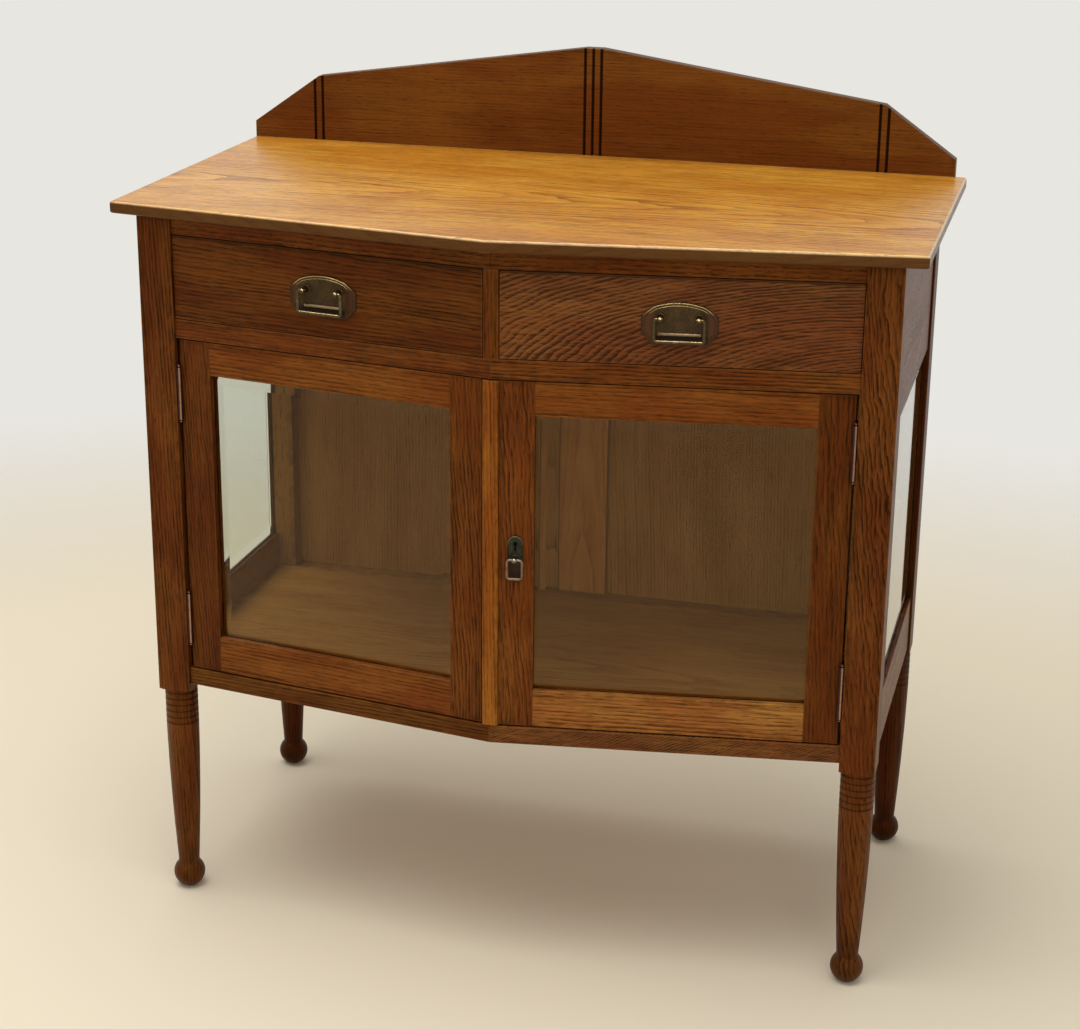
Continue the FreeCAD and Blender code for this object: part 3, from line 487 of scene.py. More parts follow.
@dataclass(frozen=True)
class Oak:
    """Oak with its colours, growth rings, pores and polish."""

    name: str
    late: Colour
    early: Colour
    pore: Colour
    worn: Colour
    contrast: float = 1.0
    fleck: float = 0.55
    rough: float = 0.42
    coat: float = 0.03
    gloss: float = 0.18
    sheen: Colour = (0.85, 0.40, 0.12, 1.0)
    cast: Colour = (0.80, 0.64, 0.66, 1.0)
    wear: float = 0.22
    # Weight of the dirt along the edges, and of the painted shade that some oaks add in their grooves and
    # hollows
    grime: float = 0.45

    EARLY_FALL: ClassVar[float] = 1.7
    DASH_BREAK: ClassVar[Pair] = (0.34, 0.62)
    PORE_BREAK: ClassVar[Pair] = (0.56, 0.70)
    BLUSH_BREAK: ClassVar[Pair] = (0.38, 0.62)
    GRIME_BREAK: ClassVar[Pair] = (0.35, 0.70)
    DASH_RANGE: ClassVar[Pair] = (0.30, 1.0)
    RING_RANGE: ClassVar[Pair] = (0.45, 1.25)
    FADE_RANGE: ClassVar[Pair] = (0.1, 1.9)
    PORE_RANGE: ClassVar[Pair] = (0.30, 1.0)
    FIBRE_SIZE: ClassVar[float] = 2.4
    PATCH_SIZE: ClassVar[float] = 0.8
    BASE_SHARE: ClassVar[float] = 0.12
    GRIME_REACH: ClassVar[float] = 0.012
    WEAR_REACH: ClassVar[Pair] = (0.0020, 0.0005)
    WEAR_BREAK: ClassVar[float] = 0.0016
    ROUGH_SIZE: ClassVar[float] = 0.12
    PORE_ROUGH: ClassVar[float] = 0.16
    RING_HEIGHT: ClassVar[float] = 0.35
    FIBRE_HEIGHT: ClassVar[float] = 0.5
    PORE_DEPTH: ClassVar[float] = 0.9
    BUMP_DEPTH: ClassVar[float] = 0.0004
    BUMP_STRENGTH: ClassVar[float] = 0.4
    COAT_ROUGH: ClassVar[float] = 0.20

    def dress(self, piece: bpy.types.Object, grain: Grain) -> None:
        """Give a piece this oak, cut from the log as its grain says.

        The fraction of the ring count gives the place across a ring. The early wood of each ring is dark,
        broken into dashes, stronger in some rings than in others, and fades in places. Fibres and broad
        patches vary the tone, pores darken it, dirt gathers along the edges, some oaks add painted shade in
        their grooves and hollows, and the edges themselves wear pale.

        Args:
            piece: The piece to dress.
            grain: How the piece was cut.
        """
        board = Board.lay(piece, self.name, grain)
        net = board.net
        ring = board.rings(grain)
        early = (1 - ring.fraction()) ** self.EARLY_FALL
        dash = board.noise(DASHES).step(*self.DASH_BREAK).between(*self.DASH_RANGE)
        strong = net.chance(ring.whole(), board.seed).between(*self.RING_RANGE)
        tone = early * dash * strong * board.noise(FADING).between(*self.FADE_RANGE)
        fibre, patch, scuff = (board.noise(pattern) for pattern in (FIBRES, PATCHES, SCUFFS))
        pores = board.noise(PORES).step(*self.PORE_BREAK) * early.between(*self.PORE_RANGE)
        dark = self.contrast * grain.force * tone + fibre.about(self.FIBRE_SIZE * self.fleck)
        dark = dark + patch.about(self.PATCH_SIZE) + self.BASE_SHARE
        colour = net.mix(dark.share(), self.late, self.early)
        colour = net.mix(board.noise(BLUSHES).step(*self.BLUSH_BREAK), colour, self.cast, "MULTIPLY")
        colour = net.mix(self.fleck * pores, self.tinted(board, colour), self.pore)
        edge = board.edge()
        grime = edge.step(self.GRIME_REACH, 0.0) * scuff.step(*self.GRIME_BREAK)
        # Dirt along the edges, with the painted shade that some oaks add in their grooves and hollows
        colour = net.mix(self.grime * self.hollows(board, grime), colour, self.pore)
        wear = (edge + scuff.about(self.WEAR_BREAK)).step(*self.WEAR_REACH)
        colour = net.mix(self.wear * wear, colour, self.worn)
        rough = self.rough + self.PORE_ROUGH * pores
        rough = rough + patch.about(self.ROUGH_SIZE) + scuff.about(self.ROUGH_SIZE)
        height = self.RING_HEIGHT * (1 - tone) + self.FIBRE_HEIGHT * fibre - self.PORE_DEPTH * pores
        net.put_on(piece, net.principled({
            "Base Color": colour, "Roughness": rough,
            "Normal": net.bump(height, self.BUMP_DEPTH, self.BUMP_STRENGTH),
            "Specular IOR Level": self.gloss, "Specular Tint": self.sheen,
            "Coat Weight": self.polish(board), "Coat Roughness": self.COAT_ROUGH}))

    def tinted(self, board: Board, colour: Socket) -> Socket:
        """Colour laid over the grain: a plain board has none."""
        return colour

    def polish(self, board: Board) -> Any:
        """Weight of the polish: a plain board has the same all over."""
        return self.coat

    def hollows(self, board: Board, grime: Value) -> Value:
        """Where dirt stays, and where some oaks paint shade: a plain board has only dirt, along its edges."""
        return grime


@dataclass(frozen=True)
class TurnedOak(Oak):
    """Oak of the legs, with painted shade in the reeding, and darker at the neck and towards the floor."""

    reeds: Pair = (0.235, 0.284)
    reed_radius: float = 0.0206
    reed_depth: float = 0.0010
    reed_ease: float = 0.002
    square: Pair = (0.28, 0.30)
    neck_radius: Pair = (0.0165, 0.0135)
    neck_height: Pair = (0.060, 0.034)
    ball_height: Pair = (0.078, 0.040)
    shaft_height: Pair = (0.240, 0.200)
    reed_dirt: Pair = (0.4, 1.5)
    neck_dirt: float = 0.7
    ball_dirt: float = 0.9
    shaft_dirt: float = 0.40

    def hollows(self, board: Board, grime: Value) -> Value:
        """Where dirt and painted shade lie: dirt along the edges of the square, painted shade in the reeding,
        and darker at the neck and near the floor.

        Args:
            board: The leg, whose length runs upwards.
            grime: Dirt along the edges.

        Returns:
            Share of dirt and painted shade.
        """
        radius = (board.depth * board.depth + board.breadth * board.breadth).root()
        height = board.length + board.half.x
        low, high = self.reeds
        # Painted shade in the reeding: the whole band darker, and its grooves darker still, where shade would
        # fall
        band = height.step(low, low + self.reed_ease) * height.step(high, high - self.reed_ease)
        groove = radius.step(self.reed_radius, self.reed_radius - self.reed_depth)
        # Darker at the neck and towards the floor
        neck = radius.step(*self.neck_radius) * height.step(*self.neck_height)
        foot = self.ball_dirt * height.step(*self.ball_height)
        foot = foot + self.shaft_dirt * height.step(*self.shaft_height)
        dirt = grime * height.step(*self.square) + groove.between(*self.reed_dirt) * band
        return (dirt + self.neck_dirt * neck + foot).least(1.0)


@dataclass(frozen=True)
class Lining:
    """Bare wood of what lies inside the cupboard: within the side glass, above the floor, before the back."""

    reach: float
    tone: Colour = paint(150, 102, 48)
    share: float = 0.85
    floor: float = 0.318
    back: float = 0.2135
    ease: float = 0.0004

    def over(self, net: Net, colour: Socket) -> Socket:
        """Lay the bare wood over a colour.

        Args:
            net: Node tree of the material.
            colour: Colour of the stained wood.

        Returns:
            The colour with the bare wood laid over it.
        """
        across, behind, height = net.parts(net.place())
        inside = abs(across).step(self.reach, self.reach - self.ease)
        inside = inside * height.step(self.floor, self.floor + self.ease)
        inside = inside * behind.step(self.back, self.back - self.ease)
        return net.mix(self.share * inside, colour, self.tone)


@dataclass(frozen=True)
class LinedOak(Oak):
    """Stained oak of the side rails, bare on the face toward the cupboard."""

    lining: Lining = Lining(0.4366)

    def tinted(self, board: Board, colour: Socket) -> Socket:
        """Colour laid over the grain: bare wood inside the cupboard."""
        return self.lining.over(board.net, colour)


@dataclass(frozen=True)
class LinedLegOak(TurnedOak):
    """Oak of the back legs, painted darker as shade, bare where they stand inside the cupboard."""

    lining: Lining = Lining(0.4411)

    def tinted(self, board: Board, colour: Socket) -> Socket:
        """Colour laid over the grain: bare wood inside the cupboard."""
        return self.lining.over(board.net, colour)


@dataclass(frozen=True)
class BenchOak(Oak):
    """Oak of the top board, darker on its edges than on its polished face, with a painted highlight along the
    rounded arris.
    """

    edge_tone: Colour = paint(73, 41, 17)
    edge_share: float = 0.92
    edge_start: Pair = (0.0006, 0.0030)
    arris_start: Pair = (0.0, 0.0006)
    arris_end: Pair = (0.0034, 0.0016)
    arris_share: float = 0.40
    arris_polish: float = 0.6

    def tinted(self, board: Board, colour: Socket) -> Socket:
        """Darken what lies below the face, and paint a pale highlight along the rounded arris."""
        colour = board.net.mix(self.edge_share * self.below(board), colour, self.edge_tone)
        # Painted highlight: the rounded arris is lightened toward the worn colour, as if it caught the lamp
        return board.net.mix(self.arris_share * self.arris(board), colour, self.worn)

    def polish(self, board: Board) -> Any:
        """Weight of the polish: the board's own on the face, more on the arris, none on the edges."""
        return self.coat * (1 - self.below(board)) + self.arris_polish * self.arris(board)

    def arris(self, board: Board) -> Value:
        """Share of a place that lies on the rounded arris, just under the face."""
        return board.under_face().step(*self.arris_start) * board.under_face().step(*self.arris_end)

    def below(self, board: Board) -> Value:
        """Share of a place that lies below the face: 0 on the face, 1 on the edges."""
        return board.under_face().step(*self.edge_start)


@dataclass(frozen=True)
class GroovedOak(Oak):
    """Oak of the gallery, with painted shade in its upright grooves (a pair at each break and three in the
    middle) and on its upward faces.
    """

    break_at: float = 0.379
    pitch: float = 0.0108
    half_groove: float = 0.0022
    groove_ease: float = 0.0007
    groove_depth: Pair = (0.0040, 0.0030)
    triple_reach: Pair = (0.0162, 0.0164)
    edge_dirt: float = 0.5
    edge_tone: Colour = paint(56, 30, 10)
    edge_share: float = 0.8
    upwards: Pair = (0.3, 0.6)

    def tinted(self, board: Board, colour: Socket) -> Socket:
        """Paint shade on what faces upwards, the sawn edges on top, so that they don't show lit from above.
        """
        # Painted shade on faces that look upwards, so that the top edges don't show lit by the lamp above
        edge = board.net.toward((0, 0, 1)).step(*self.upwards)
        return board.net.mix(self.edge_share * edge, colour, self.edge_tone)

    def hollows(self, board: Board, grime: Value) -> Value:
        """Where dirt and painted shade lie: a little dirt along the edges, and much painted shade in the
        grooves of the front.

        The distance to the nearest groove is that to one of a pair, half a pitch either side of a break, or
        that to the nearest whole pitch from the middle, within reach of the three.

        Args:
            board: The gallery board.
            grime: Dirt along the edges.

        Returns:
            Share of dirt and painted shade.
        """
        across = abs(board.length)
        pairs = abs(abs(across - self.break_at) - self.pitch / 2)
        triple = abs((board.length / self.pitch + 0.5).fraction() - 0.5) * self.pitch
        nearest = pairs.least(triple + across.step(*self.triple_reach))
        groove = nearest.step(self.half_groove, self.half_groove - self.groove_ease)
        # Dirt along the edges, and painted shade in the grooves
        dirt = self.edge_dirt * grime + groove * board.behind_face().step(*self.groove_depth)
        return dirt.least(1.0)


@dataclass(frozen=True)
class DrawerOak(Oak):
    """Oak of the drawer fronts, with a painted shadow along the top edge, under the rail."""

    line: float = 0.0032
    line_dirt: float = 2.0

    def hollows(self, board: Board, grime: Value) -> Value:
        """Where dirt and painted shadow lie: a little dirt along all edges, and a dark painted shadow line
        along the face's top one, under the rail.

        Args:
            board: The drawer front.
            grime: Dirt along the edges.

        Returns:
            Share of dirt and painted shadow, past 1 in the line.
        """
        # Painted shadow: a dark line along the top edge of the face, where the rail above would cast it
        face = board.behind_face().step(self.line / 2, self.line / 4)
        line = (board.half.z - board.breadth).step(self.line, self.line / 3)
        return (grime + self.line_dirt * face * line).least(self.line_dirt)


@dataclass(frozen=True)
class MuntinOak(Oak):
    """Oak of the back's muntin, with dirt in the thin gap down both its edges."""

    gap: float = 0.0020

    def hollows(self, board: Board, grime: Value) -> Value:
        """Where dirt stays: an even line down both edges."""
        return (board.half.z - abs(board.breadth)).step(self.gap, self.gap / 4)


@dataclass(frozen=True)
class DovetailedOak(Oak):
    """Oak of the drawer sides, with the pins of the front's dovetails showing between its tails."""

    tail_pitch: float = 0.024
    pin_half: float = 0.0022
    pin_flare: float = 0.2
    pin_length: float = 0.013
    pin_ease: float = 0.0003
    wedge_ease: float = 0.0002
    pin_share: float = 0.85
    front_thick: float = 0.020
    pin_tone: Colour = paint(96, 58, 26)

    def tinted(self, board: Board, colour: Socket) -> Socket:
        """Lay the pins over the grain: wedges behind the canted front, at even heights, widening backwards.

        Args:
            board: The drawer sides.
            colour: Colour of the grain.

        Returns:
            The colour with the pins laid over it.
        """
        net = board.net
        across, back, height = net.parts(net.place())
        run = back - SLOPE * abs(across) - (FACE_MIDDLE + self.front_thick)
        middle = abs((height / self.tail_pitch).fraction() - 0.5) * self.tail_pitch
        wedge = (self.pin_half + self.pin_flare * run - middle).step(-self.wedge_ease, self.wedge_ease)
        pin = wedge * run.step(self.pin_length, self.pin_length - self.pin_ease)
        return net.mix(self.pin_share * pin, colour, self.pin_tone)


NEUTRAL_SHEEN = (0.95, 0.65, 0.40, 1.0)

STAINED = Oak("stained_oak", late=paint(119, 65, 21), early=paint(54, 25, 7), pore=paint(30, 13, 4),
              worn=paint(140, 84, 38), contrast=1.1, fleck=0.8)
LINED = LinedOak("lined_oak", STAINED.late, STAINED.early, STAINED.pore, STAINED.worn, contrast=1.1,
                 fleck=0.8)
DUSKY = replace(STAINED, name="dusky_oak", late=paint(105, 55, 18), early=paint(47, 21, 5))
UMBER = DrawerOak("umber_oak", late=paint(109, 59, 19), early=paint(49, 23, 6), pore=paint(28, 12, 4),
                  worn=STAINED.worn, contrast=1.1, fleck=0.8)
RUBBED = replace(STAINED, name="rubbed_oak", late=paint(111, 66, 21), wear=0.3)
FLAMED = replace(RUBBED, name="flamed_oak", late=paint(130, 80, 36), early=paint(58, 31, 12),
                 sheen=NEUTRAL_SHEEN)
CHESTNUT = replace(STAINED, name="chestnut_oak", late=paint(129, 74, 28), early=paint(61, 30, 10))
TURNED = TurnedOak("turned_oak", late=paint(117, 66, 27), early=paint(52, 25, 8), pore=paint(24, 10, 2),
                   worn=paint(134, 80, 32), contrast=1.1, fleck=0.8, coat=0.0)
# Darker copy of the turned oak for the back legs: painted shade
SHADED = LinedLegOak("shaded_oak", late=paint(84, 40, 15), early=paint(37, 16, 5), pore=TURNED.pore,
                     worn=TURNED.worn, contrast=1.1, fleck=0.8, coat=0.0)
FIGURED = replace(UMBER, name="figured_oak", late=paint(135, 82, 39), early=paint(66, 34, 12),
                  sheen=NEUTRAL_SHEEN)
RUSSET = Oak("russet_oak", late=paint(137, 79, 30), early=paint(82, 43, 12), pore=paint(40, 17, 5),
             worn=paint(150, 92, 42), contrast=1.0, fleck=0.8)
HONEY = Oak("honey_oak", late=paint(168, 103, 36), early=paint(100, 54, 13), pore=paint(56, 28, 8),
            worn=paint(180, 122, 56), contrast=0.9)
STRAW = replace(HONEY, name="straw_oak", late=paint(176, 122, 59), early=paint(104, 63, 25),
                contrast=1.3, fleck=0.85)
# The top's worn colour is also that of the painted highlight along its arris
TOP = BenchOak("top_oak", late=paint(203, 145, 52), early=paint(132, 78, 16), pore=paint(92, 51, 12),
               worn=paint(236, 200, 140), contrast=0.95, fleck=0.85, rough=0.30, coat=0.22, gloss=0.22,
               sheen=(1.0, 0.80, 0.50, 1.0), cast=(0.86, 0.74, 0.60, 1.0), wear=0.3, grime=0.3)
GALLERY = GroovedOak("gallery_oak", late=paint(116, 68, 22), early=paint(74, 40, 10), pore=paint(20, 9, 3),
                     worn=paint(138, 84, 34), contrast=0.6, fleck=0.55, grime=0.9)
INSIDE = Oak("inside_oak", late=paint(166, 115, 57), early=paint(118, 77, 33), pore=paint(66, 42, 18),
             worn=paint(184, 140, 84), contrast=0.6, fleck=0.4, rough=0.6, coat=0.0,
             cast=(0.92, 0.86, 0.82, 1.0), wear=0.12)
# Lighter copy of the inside oak for the cupboard floor: painted light, for the light that falls on it
FLOOR = replace(INSIDE, name="floor_oak", late=paint(178, 124, 62), early=paint(127, 83, 36))
MUNTIN = MuntinOak("muntin_oak", late=paint(180, 120, 58), early=paint(128, 80, 34), pore=INSIDE.pore,
                   worn=INSIDE.worn, contrast=0.6, fleck=0.4, rough=0.6, coat=0.0, cast=INSIDE.cast,
                   wear=0.0, grime=0.7)
DRAWER_BOX = Oak("drawer_box_oak", late=paint(188, 148, 96), early=paint(146, 104, 56),
                 pore=paint(96, 66, 36), worn=paint(206, 174, 126), contrast=0.7, rough=0.62, coat=0.0,
                 cast=(0.92, 0.84, 0.78, 1.0), wear=0.2)
DRAWER_SIDE = DovetailedOak("drawer_side_oak", DRAWER_BOX.late, DRAWER_BOX.early, DRAWER_BOX.pore,
                            DRAWER_BOX.worn, contrast=0.7, rough=0.62, coat=0.0, cast=DRAWER_BOX.cast,
                            wear=0.2)


@dataclass(frozen=True)
class Brass:
    """Old brass: dark patina in the hollows, bare metal where hands have rubbed it, and on some pieces a
    painted highlight and painted shade.
    """

    name: str
    bare: Colour
    patina: Colour
    shade: Colour
    age: float = 0.7
    shine: float = 0.26
    facing: float = 0.0
    toward: Triple = (0.0, -1.0, 0.0)
    spread: Pair = (0.80, 0.97)
    clean: Pair | None = None

    CLOUD_SIZE: ClassVar[float] = 1.2
    SPECK_SIZE: ClassVar[float] = 0.8
    SPECK_BREAK: ClassVar[Pair] = (0.55, 0.72)
    SPECK_SHARE: ClassVar[float] = 0.6
    SPECK_ROUGH: ClassVar[float] = 0.20
    LOW_DIRT: ClassVar[float] = 0.9
    DULL_ROUGH: ClassVar[float] = 0.25
    DULL_METAL: ClassVar[float] = 0.30
    BUMP_DEPTH: ClassVar[float] = 0.0002
    BUMP_STRENGTH: ClassVar[float] = 0.2

    def dress(self, piece: bpy.types.Object) -> None:
        """Give a piece this brass.

        What faces a chosen way is painted bare and bright as a highlight, and the rest dark as painted shade,
        by the painted light share. Where heights are given, the metal is painted dark as shade below the
        first and bright as a highlight above the second.

        Args:
            piece: The piece to dress.
        """
        net = Net.material(f"{self.name}_{piece.name}")
        place = net.place()
        cloud, speck = (net.noise(place, pattern, seed_of(piece)) for pattern in (CLOUDS, SPECKS))
        tarnish = self.age + cloud.about(self.CLOUD_SIZE) + speck.about(self.SPECK_SIZE)
        # Painted highlight where the metal faces the chosen way, painted shade elsewhere
        if self.facing:
            tarnish = tarnish + self.facing * (0.5 - net.toward(self.toward).step(*self.spread))
        # Painted shade below the first height, painted highlight above the second
        if self.clean:
            shade_height, clean = self.clean
            tarnish = tarnish + self.LOW_DIRT * net.parts(place)[2].step(clean, shade_height)
        tarnish = tarnish.share()
        colour = net.mix(tarnish, self.bare, self.patina)
        colour = net.mix(self.SPECK_SHARE * speck.step(*self.SPECK_BREAK), colour, self.shade)
        height = 0.5 * cloud + 0.5 * speck
        net.put_on(piece, net.principled({
            "Base Color": self.overlaid(net, colour, place), "Metallic": 1 - self.DULL_METAL * tarnish,
            "Roughness": self.shine + self.DULL_ROUGH * tarnish + speck.about(self.SPECK_ROUGH),
            "Normal": net.bump(height, self.BUMP_DEPTH, self.BUMP_STRENGTH)}))

    def overlaid(self, net: Net, colour: Socket, place: Socket) -> Socket:
        """Colour laid over the metal: plain brass has none."""
        return colour


@dataclass(frozen=True)
class PlateBrass(Brass):
    """Brass of the drawer pulls' back plates, with a painted shadow under the rest bar, and ruddy at both
    ends.
    """

    # Heights between which a shadow is painted under the rest bar
    soot: Pair = (0.7990, 0.8078)
    soot_ease: Pair = (0.0010, 0.0006)
    middle: float = 0.2116
    ends: Pair = (0.0275, 0.0325)
    ruddy: Colour = paint(86, 50, 30)
    ruddy_share: float = 0.75
    soot_share: float = 0.8

    def overlaid(self, net: Net, colour: Socket, place: Socket) -> Socket:
        """Paint a shadow between two heights, under the rest bar, and lay a ruddy cast beyond the bail's
        arms.

        Args:
            net: Node tree of the material.
            colour: Colour of the metal.
            place: Place on the plate.

        Returns:
            The colour with both laid over it.
        """
        across, _, height = net.parts(place)
        ends = abs(abs(across) - self.middle).step(*self.ends)
        colour = net.mix(self.ruddy_share * ends, colour, self.ruddy)
        (low, high), (low_ease, high_ease) = self.soot, self.soot_ease
        # Painted shadow under the rest bar, kept off the ruddy ends
        soot = height.step(low, low + low_ease) * height.step(high, high - high_ease)
        return net.mix(self.soot_share * soot * (1 - ends), colour, self.shade)


@dataclass(frozen=True)
class DropBrass(Brass):
    """Brass of the drop pull's plate, green above, with a dark ruddy painted shade on the tail behind the
    ring.
    """

    tail: Pair = (0.5245, 0.5295)
    ruddy: Colour = paint(50, 24, 17)
    ruddy_share: float = 0.8

    def overlaid(self, net: Net, colour: Socket, place: Socket) -> Socket:
        """Paint a dark ruddy shade on the tail, behind the ring."""
        low, high = self.tail
        # Painted shade: the tail behind the ring is darkened toward a dark ruddy tone
        return net.mix(self.ruddy_share * net.parts(place)[2].step(high, low), colour, self.ruddy)


# Direction toward the key lamp, where the heads and the knob get their painted highlight
TO_LAMP = (0.15, -0.80, 0.58)

AGED_BRASS = Brass("aged_brass", bare=paint(106, 80, 44), patina=paint(58, 41, 21), shade=paint(22, 14, 7),
                   age=0.85)
PLATE_BRASS = PlateBrass("plate_brass", bare=AGED_BRASS.bare, patina=paint(56, 41, 20),
                         shade=paint(18, 11, 5), age=0.85)
# Rim: painted highlight on the top of the arch, painted shade lower down
RIM_BRASS = Brass("rim_brass", bare=paint(206, 180, 122), patina=paint(66, 46, 25), shade=paint(30, 20, 10),
                  age=0.30, shine=0.18, clean=(0.828, 0.838))
# Bail: painted highlight on what faces up and forward, painted shade on the rest
BAIL_BRASS = Brass("bail_brass", bare=paint(190, 166, 116), patina=paint(78, 62, 36), shade=paint(32, 24, 12),
                   age=0.55, shine=0.18, facing=1.0, toward=(0.0, -0.45, 0.893))
REST_BRASS = Brass("rest_brass", bare=paint(182, 154, 118), patina=paint(104, 80, 54),
                   shade=paint(44, 32, 20), age=0.40, shine=0.24)
# Post heads: painted highlight where they face the lamp
HEAD_BRASS = Brass("head_brass", bare=paint(206, 184, 136), patina=paint(74, 58, 34), shade=paint(36, 26, 14),
                   age=0.45, shine=0.16, facing=1.3, toward=TO_LAMP)
GREEN_BRASS = DropBrass("green_brass", bare=paint(84, 92, 66), patina=paint(38, 38, 25),
                        shade=paint(16, 15, 9), age=0.85)
# Drop plate rim: painted highlight on its top, painted shade lower down
TAIL_BRASS = Brass("tail_brass", bare=paint(150, 132, 96), patina=paint(50, 38, 22), shade=paint(20, 14, 8),
                   age=0.5, clean=(0.540, 0.556))
RING_BRASS = Brass("ring_brass", bare=paint(160, 136, 116), patina=paint(84, 60, 46), shade=paint(40, 26, 19),
                   age=0.55, shine=0.2)
# Knob: painted highlight where it faces the lamp
KNOB_BRASS = Brass("knob_brass", bare=paint(186, 188, 168), patina=paint(100, 96, 78),
                   shade=paint(50, 44, 32), age=0.45, shine=0.16, facing=0.9, toward=TO_LAMP)
# Hinges: a painted highlight line where the knuckles face the camera's side, painted shade on the rest
HINGE_BRASS = Brass("hinge_brass", bare=paint(160, 122, 106), patina=paint(58, 30, 22),
                    shade=paint(24, 10, 8), age=0.5, shine=0.2, facing=1.3, toward=(0.45, -0.893, 0.0),
                    spread=(0.91, 0.995))
SCREW_STEEL = Brass("screw_steel", bare=paint(150, 146, 138), patina=paint(104, 98, 90),
                    shade=paint(60, 54, 48))
KEYHOLE_SHADE = Brass("keyhole_shade", bare=paint(26, 18, 11), patina=paint(15, 10, 6), shade=paint(5, 4, 3),
                      shine=0.6)


@dataclass(frozen=True)
class Glass:
    """Old plate glass, faintly uneven, that lets lamp light through to what is behind it."""

    name: str = "plate_glass"
    tint: Colour = paint(238, 241, 233)
    mirror: Colour = (0.30, 0.30, 0.30, 1.0)
    bend: float = 1.45
    ripple_depth: float = 0.004
    ripple_strength: float = 0.004

    def dress(self, piece: bpy.types.Object) -> None:
        """Give a pane this glass.

        Args:
            piece: The pane to dress.
        """
        net = Net.material(f"{self.name}_{piece.name}")
        ripple = net.noise(net.place(), RIPPLES)
        pane = net.principled({
            "Base Color": self.tint, "Roughness": 0.0, "Transmission Weight": 1.0, "IOR": self.bend,
            "Specular Tint": self.mirror,
            "Normal": net.bump(ripple, self.ripple_depth, self.ripple_strength)})
        lamp_ray = net.node("ShaderNodeLightPath").outputs["Is Shadow Ray"]
        net.put_on(piece, net.either(lamp_ray, pane, net.clear(self.tint)))


PLATE_GLASS = Glass()


def measure(piece: bpy.types.Object, turn: Euler) -> tuple[Vector, Vector]:
    """Middle and half sizes of a piece along turned directions.

    Args:
        piece: A mesh at the origin.
        turn: Turn of the piece's own directions.

    Returns:
        The middle in the object's frame, and the half sizes along the turned directions.
    """
    points = np.empty(len(piece.data.vertices) * 3, np.float32)
    piece.data.vertices.foreach_get("co", points)
    basis = np.array(turn.to_matrix())
    turned = points.reshape(-1, 3) @ basis
    low, high = turned.min(0), turned.max(0)
    return Vector(basis @ ((low + high) / 2)), Vector((high - low) / 2)


def on_front(side: int, along: np.ndarray, depth: np.ndarray, height: np.ndarray) -> np.ndarray:
    """Points of one canted half of the front: steps along it and square to it from its middle line.

    Args:
        side: 1 for the right half, -1 for the left.
        along: Distance from the centre line along the half.
        depth: Distance behind the rails' face, square to it; forwards is negative.
        height: Height above the floor.

    Returns:
        The points, one row each.
    """
    along, depth, height = np.broadcast_arrays(along, depth, height)
    x = side * (along * math.cos(LEAN) - depth * math.sin(LEAN))
    y = FACE_MIDDLE + along * math.sin(LEAN) + depth * math.cos(LEAN)
    return np.stack([x, y, height], axis=-1)


def grid_piece(name: str, grids: Iterable[np.ndarray], body: str,
               wrap: bool = True) -> bpy.types.Object:
    """Make one piece from grids of points, each a row of rings.

    Args:
        name: Name of the piece.
        grids: Arrays of rings by points by 3; the points of a ring close on themselves.
        body: Body that the piece rides on.
        wrap: Whether the last ring joins the first; otherwise both ends are closed.

    Returns:
        The new piece, with faces outwards.
    """
    points: list[np.ndarray] = []
    faces: list[list[int]] = []
    start = 0
    for grid in grids:
        rings, around = grid.shape[:2]
        index = start + np.arange(rings * around).reshape(rings, around)
        rows = index if wrap else index[:-1]
        after = np.roll(index, -1, 0) if wrap else index[1:]
        quads = np.stack([rows, np.roll(rows, -1, 1), np.roll(after, -1, 1), after], -1)
        faces += quads.reshape(-1, 4).tolist()
        if not wrap:
            faces += [index[0][::-1].tolist(), index[-1].tolist()]
        points.append(grid.reshape(-1, 3))
        start += rings * around
    mesh = bpy.data.meshes.new(name)
    mesh.from_pydata(np.concatenate(points).tolist(), [], faces)
    shell = bmesh.new()
    shell.from_mesh(mesh)
    bmesh.ops.remove_doubles(shell, verts=shell.verts, dist=MERGE_DISTANCE)
    bmesh.ops.recalc_face_normals(shell, faces=shell.faces)
    shell.to_mesh(mesh)
    shell.free()
    mesh.shade_smooth()
    mesh.set_sharp_from_angle(angle=SHARP_ANGLE)
    piece = bpy.data.objects.new(name, mesh)
    bpy.context.scene.collection.objects.link(piece)
    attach(piece, body)
    log.info("built %s: %d faces", name, len(mesh.polygons))
    return piece


@dataclass(frozen=True)
class Bead:
    """A half-round bead along an outline: how far inside it runs, its width and its height."""

    inset: float
    width: float
    rise: float

    def grid(self, outline: np.ndarray, count: int = 7) -> np.ndarray:
        """The bead along a closed flat outline.

        At each corner the half circle is carried along the mitre: the bisector, lengthened by the cosine of
        half the turn.

        Args:
            outline: Corners of the outline, counter-clockwise.
            count: Points across the bead.

        Returns:
            Corners by points by (first, second, height).
        """
        onward = np.roll(outline, -1, 0) - outline
        onward /= np.linalg.norm(onward, axis=1, keepdims=True)
        normal = np.stack([-onward[:, 1], onward[:, 0]], -1)
        mitre = normal + np.roll(normal, 1, 0)
        mitre /= (mitre * normal).sum(1, keepdims=True)
        angle = np.linspace(0, math.pi, count)
        offset = self.inset - np.cos(angle) * self.width / 2
        flat = outline[:, None, :] + mitre[:, None, :] * offset[None, :, None]
        height = np.broadcast_to(np.sin(angle) * self.rise, flat.shape[:2])
        return np.concatenate([flat, height[..., None]], -1)


